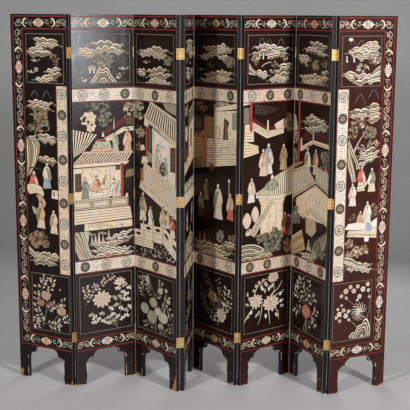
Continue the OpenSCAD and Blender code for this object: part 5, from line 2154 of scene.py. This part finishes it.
def ground_surface(k):
    """Old lacquer: dark, smudged, finely crazed, streaked towards the feet and worn along its edges."""
    s = Surface(f"lacquer_ground_{k}")
    # the leaf's ground tone, which holds a painted sheen on leaf 2 and painted light on leaf 8
    tone = GROUND_AND_PAINTED_LIGHT_TONES[k]
    rust = times(tone, (1.7, 1.36, 1.2))
    place = s.axes(s.attribute("leaf"))
    u, z = place["X"], place["Y"]
    cloud = s.fit(s.noise(5.5, 5, 0.6, warp=0.5), 0.3, 0.7)
    base = s.blend(cloud, linear(times(tone, 0.62)), linear(tone))
    streak = s.fit(s.noise(75, 4, 0.65, source=s.stretched((1, 1, 0.07))), 0.42, 0.75)
    low = s.fit(z, 0.24, 0.0, 0.16, 0.7)
    base = s.blend(s.product(streak, low), base, linear(rust))
    scuff = s.product(s.fit(s.noise(210, 5, 0.75, warp=0.8), 0.60, 0.72),
                      s.fit(s.noise(14, 4), 0.46, 0.66, 0, 0.8))
    base = s.blend(s.product(scuff, 0.42), base, linear(SCUFFED))
    from_side = s.combine("MINIMUM", u, s.minus(LEAF_W * MM, u))
    from_foot = s.fit(z, 0.05, 0.0)
    worn = s.most(s.fit(from_side, 0.0048, 0.0), s.product(from_foot, 0.55))
    worn = s.fit(s.plus(worn, s.noise(90, 5, 0.7)), 1.22, 1.42, 0, 0.8)
    base = s.blend(worn, base, linear(WORN))
    crack = s.fit(s.cells(150, s.stretched((1, 1, 0.4))), 0.0, 0.028, 1, 0)
    crack = s.product(crack, s.fit(s.noise(11, 3), 0.48, 0.62))
    base = s.blend(s.product(crack, 0.4), base, linear(rust))
    smudge = s.fit(s.noise(9, 6, 0.68, warp=0.5), 0.3, 0.7, *GLOSS.get(k, PLAIN_GLOSS))
    wave = s.bump(s.noise(2.5, 0), 0.0005, 0.12)
    heights = s.minus(s.product(s.noise(420, 3), 0.16), s.plus(crack, s.product(worn, 0.6)))
    s.shade(Base_Color=base, Roughness=s.plus(smudge, s.product(s.most(worn, scuff), 0.3)),
            Normal=s.bump(heights, 0.0002, 0.4, wave), Specular_IOR_Level=SHEEN.get(k, PLAIN_SHEEN))
    return s.material


def edge_surface(k):
    """Stiles and rails: lacquered on their outer edges, bare worn wood under the coats."""
    s = Surface(f"edge_lacquer_{k}")
    turn = math.radians(DIRS[k])
    local = s.mapped("TEXTURE", s.coords.outputs["Object"],
                     Location=(MIDS[k][0] * MM, MIDS[k][1] * MM, 0), Rotation=(0, 0, turn))
    facing = s.axes(s.mapped("NORMAL", s.coords.outputs["Normal"], Rotation=(0, 0, -turn)))
    flat = s.fit(s.combine("ABSOLUTE", facing["Y"]), 0.5, 0.7)
    place = s.axes(local)
    grain = s.noise(46, 6, 0.65, source=s.stretched((1, 1, 0.05), local), warp=0.8)
    fibre = s.noise(420, 3, 0.6, source=s.stretched((1, 1, 0.03), local))
    wood = s.blend(s.fit(grain, 0.35, 0.65), linear(WOOD_DARK), linear(WOOD_LIGHT))
    wood = s.blend(s.fit(fibre, 0.5, 0.8, 0, 0.5), wood, linear(WOOD_FIBRE))
    wood = s.blend(s.fit(s.noise(60, 5, 0.7), 0.45, 0.7, 0, 0.6), wood, linear(WOOD_DIRT))
    black = s.blend(s.fit(s.noise(20, 5), 0.3, 0.7), linear(EDGE_BLACK), linear(EDGE_BLUE))
    streak = s.fit(s.noise(120, 4, 0.7, source=s.stretched((1, 1, 0.04), local)), 0.5, 0.75, 0, 0.5)
    black = s.blend(streak, black, linear(EDGE_STREAK))
    flecks = s.fit(s.noise(260, 4, 0.7, source=s.stretched((1, 1, 0.4), local)), 0.60, 0.70, 0, 0.65)
    black = s.blend(flecks, black, linear(EDGE_FLECK))
    half = CORE_T / 2 * MM
    arris = s.fit(s.combine("ABSOLUTE", place["Y"]), half - 0.0022, half, 0, 0.72)
    toe = s.fit(place["Z"], 0.07, 0.0, 0, 0.6)
    worn = s.plus(s.most(arris, toe), s.noise(42, 6, 0.74, source=s.stretched((1, 1, 0.5), local)))
    worn = s.fit(worn, 1.16, 1.30)
    black = s.blend(s.product(worn, 0.75), black, linear(EDGE_WORN))
    gloss = s.fit(s.noise(30, 4), 0.3, 0.7, 0.3, 0.5)
    heights = s.minus(s.product(fibre, 0.4), s.product(worn, 0.8))
    s.shade(Base_Color=s.blend(flat, black, wood),
            Roughness=s.most(gloss, s.product(s.most(worn, flat), 0.82)),
            Normal=s.bump(heights, 0.0004, 0.6), Specular_IOR_Level=0.25)
    return s.material


def wood_surface(name, light, dark):
    """Bare planed wood."""
    s = Surface(name)
    grain = s.noise(40, 6, 0.65, source=s.stretched((1, 1, 0.05)), warp=0.8)
    fibre = s.noise(380, 3, 0.6, source=s.stretched((1, 1, 0.03)))
    base = s.blend(s.fit(grain, 0.35, 0.65), linear(dark), linear(light))
    base = s.blend(s.fit(fibre, 0.5, 0.8, 0, 0.5), base, linear(times(dark, 0.6)))
    s.shade(Base_Color=base, Roughness=s.fit(grain, 0.3, 0.7, 0.7, 0.86), Normal=s.bump(fibre, 0.0003, 0.5))
    return s.material


def brass_surface(name, bright, dull):
    """Old brass, rubbed bright on the high places and brown in the hollows."""
    s = Surface(name)
    cloud = s.fit(s.noise(55, 5, 0.65, warp=0.5), 0.32, 0.68)
    base = s.blend(cloud, linear(dull), linear(bright))
    spots = s.fit(s.noise(520, 5, 0.75), 0.58, 0.70, 0, 0.75)
    base = s.blend(spots, base, linear(BRASS_SPOT))
    lines = s.noise(900, 2, 0.5, source=s.stretched((1, 1, 0.03)))
    s.shade(Base_Color=base, Roughness=s.plus(s.fit(cloud, 0, 1, 0.52, 0.36), s.product(spots, 0.3)),
            Normal=s.bump(s.minus(s.product(lines, 0.4), spots), 0.00012, 0.5), Metallic=0.55)
    return s.material


def dress(node_name, material):
    """Give a CAD node its material."""
    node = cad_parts[node_name]
    for slot in node.material_slots:
        slot.material = material


PAINTS = [pigment_surface(name, *values) for name, values in PIGMENTS.items()]
BARE = wood_surface("bare_wood", (204, 164, 118), (158, 118, 78))
PLATE_BRASS = brass_surface("plate_brass", (240, 212, 150), (192, 158, 96))
PIN_BRASS = brass_surface("pin_brass", (222, 190, 124), (160, 128, 74))
SCREW_BRASS = brass_surface("screw_brass", (120, 92, 52), (70, 52, 30))

for leaf_number in range(1, LEAF_COUNT + 1):
    coat(leaf_number, [ground_surface(leaf_number)] + PAINTS)
    edge = edge_surface(leaf_number)
    dress(f"leaf_{leaf_number}_stiles", edge)
    dress(f"leaf_{leaf_number}_rails", edge)
    dress(f"leaf_{leaf_number}_boards", BARE)
    dress(f"leaf_{leaf_number}_hinge_plates", PLATE_BRASS)
    dress(f"leaf_{leaf_number}_screws", SCREW_BRASS)
for fold_number in range(1, LEAF_COUNT):
    dress(f"fold_{fold_number}_pins", PIN_BRASS)


# ---------------------------------------------------------------- floor, light and camera
FLOOR_TONE = (192, 191, 190)
SWEEP_HALF, SWEEP_FRONT, BEND_START, BEND_R, SWEEP_TOP = 9.0, -9.0, 3.2, 1.6, 7.0
# plan direction of the light, degrees it is lowered, strength, size, distance, whether reflections show it
LAMPS = {
    "lamp_back": ((-0.12, -0.99), 12, 1.2, 1.6, 2.9, False),
    "lamp_right": ((-0.684, 0.729), 18, 2.06, 0.5, 5.5, True),
    "lamp_left": ((0.571, 0.821), 18, 1.32, 0.5, 5.5, True),
}
LAMP_AIM_Z = 1.1
SOFT_BOX_SIZE = (0.20, 0.70)
SOFT_BOX_POWER = 9.5
SOFT_BOX_COLOUR = (0.86, 0.93, 1.0)
SOFT_BOX_PLACE = (1.34, -1.40, 1.90)
SOFT_BOX_AIM = (-0.70, -0.14, 1.90)
AMBIENT, AMBIENT_COLOUR = 0.22, (0.95, 0.97, 1.0, 1.0)
# the camera, fitted to the corners of the leaves: yaw, pitch and roll in degrees, place in metres, pixels
CAMERA_TURN = (3.7205, 10.8111, 0.3191)
CAMERA_PLACE = (0.39415, -5.69841, 2.14696)
FOCAL_PIXELS, PHOTO_PIXELS, SENSOR = 1011.913, 410, 36.0


def sweep():
    """Floor and backdrop in one curved sheet, far enough back to hide its bend, and clear from behind."""
    profile = [(SWEEP_FRONT, 0.0), (BEND_START, 0.0)]
    profile += [(BEND_START + BEND_R * math.sin(a), BEND_R - BEND_R * math.cos(a))
                for a in np.linspace(0.1, math.pi / 2, 16)]
    profile.append((BEND_START + BEND_R, SWEEP_TOP))
    n = len(profile)
    verts = [(x, y, z) for x in (-SWEEP_HALF, SWEEP_HALF) for y, z in profile]
    mesh = bpy.data.meshes.new("studio_sweep")
    mesh.from_pydata(verts, [], [(i, n + i, n + i + 1, i + 1) for i in range(n - 1)])
    for polygon in mesh.polygons:
        polygon.use_smooth = True
    s = Surface("studio_paper")
    cloud = s.fit(s.noise(2.2, 4), 0.3, 0.7)
    tone = s.blend(cloud, linear(FLOOR_TONE), linear(times(FLOOR_TONE, 1.03)))
    s.shade(Base_Color=tone, Roughness=0.9, Specular_IOR_Level=0.1)
    s.clear_from_behind()
    mesh.materials.append(s.material)
    floor = placed("studio_sweep", mesh)


def lamp(name, travel, lift, strength, size, distance, glossy):
    """A square lamp that shines along the plan direction, lowered by lift degrees.
    Strength is the light it gives a surface square to it, where pi makes a colour render as written."""
    data = bpy.data.lights.new(name, "AREA")
    data.shape = "SQUARE"
    data.size = size
    data.energy = strength * math.pi * distance ** 2
    piece = placed(name, data)
    flat = Vector((travel[0], travel[1], 0)).normalized() * math.cos(math.radians(lift))
    way = flat - Vector((0, 0, math.sin(math.radians(lift))))
    piece.location = Vector((0, 0, LAMP_AIM_Z)) - way * distance
    piece.rotation_euler = way.to_track_quat("-Z", "Y").to_euler()
    piece.visible_camera = False
    piece.visible_glossy = glossy


def panel():
    """A soft box that lies as a pale sheen on the lacquer of the second leaf, and lights nothing else."""
    data = bpy.data.lights.new("soft_box", "AREA")
    data.shape = "RECTANGLE"
    data.size, data.size_y = SOFT_BOX_SIZE
    data.energy = SOFT_BOX_POWER
    data.color = SOFT_BOX_COLOUR
    piece = placed("soft_box", data)
    piece.visible_diffuse = False
    piece.location = SOFT_BOX_PLACE
    piece.rotation_euler = (Vector(SOFT_BOX_AIM) - piece.location).to_track_quat("-Z", "Y").to_euler()


def camera():
    """The camera fitted to the leaves' corners in the photograph."""
    yaw, pitch, roll = (math.radians(a) for a in CAMERA_TURN)
    forward = Vector((-math.sin(yaw) * math.cos(pitch), math.cos(yaw) * math.cos(pitch), -math.sin(pitch)))
    right = Vector((math.cos(yaw), math.sin(yaw), 0))
    up = right.cross(forward)
    side = math.cos(roll) * right + math.sin(roll) * up
    top = -math.sin(roll) * right + math.cos(roll) * up
    data = bpy.data.cameras.new("camera")
    data.sensor_fit = "HORIZONTAL"
    data.sensor_width = SENSOR
    data.lens = FOCAL_PIXELS / PHOTO_PIXELS * SENSOR
    piece = placed("camera", data)
    turn = Matrix((side, top, -forward)).transposed().to_4x4()
    piece.matrix_world = Matrix.Translation(CAMERA_PLACE) @ turn
    bpy.context.scene.camera = piece


sweep()
for lamp_name, lamp_values in LAMPS.items():
    lamp(lamp_name, *lamp_values)
panel()
camera()
world = bpy.data.worlds.new("studio")
bpy.context.scene.world = world
world.use_nodes = True
background = world.node_tree.nodes["Background"]
background.inputs["Color"].default_value = AMBIENT_COLOUR
background.inputs["Strength"].default_value = AMBIENT
bpy.context.scene.view_settings.view_transform = "Standard"


def corners(box):
    return [[float(c) for c in corner] for corner in box]
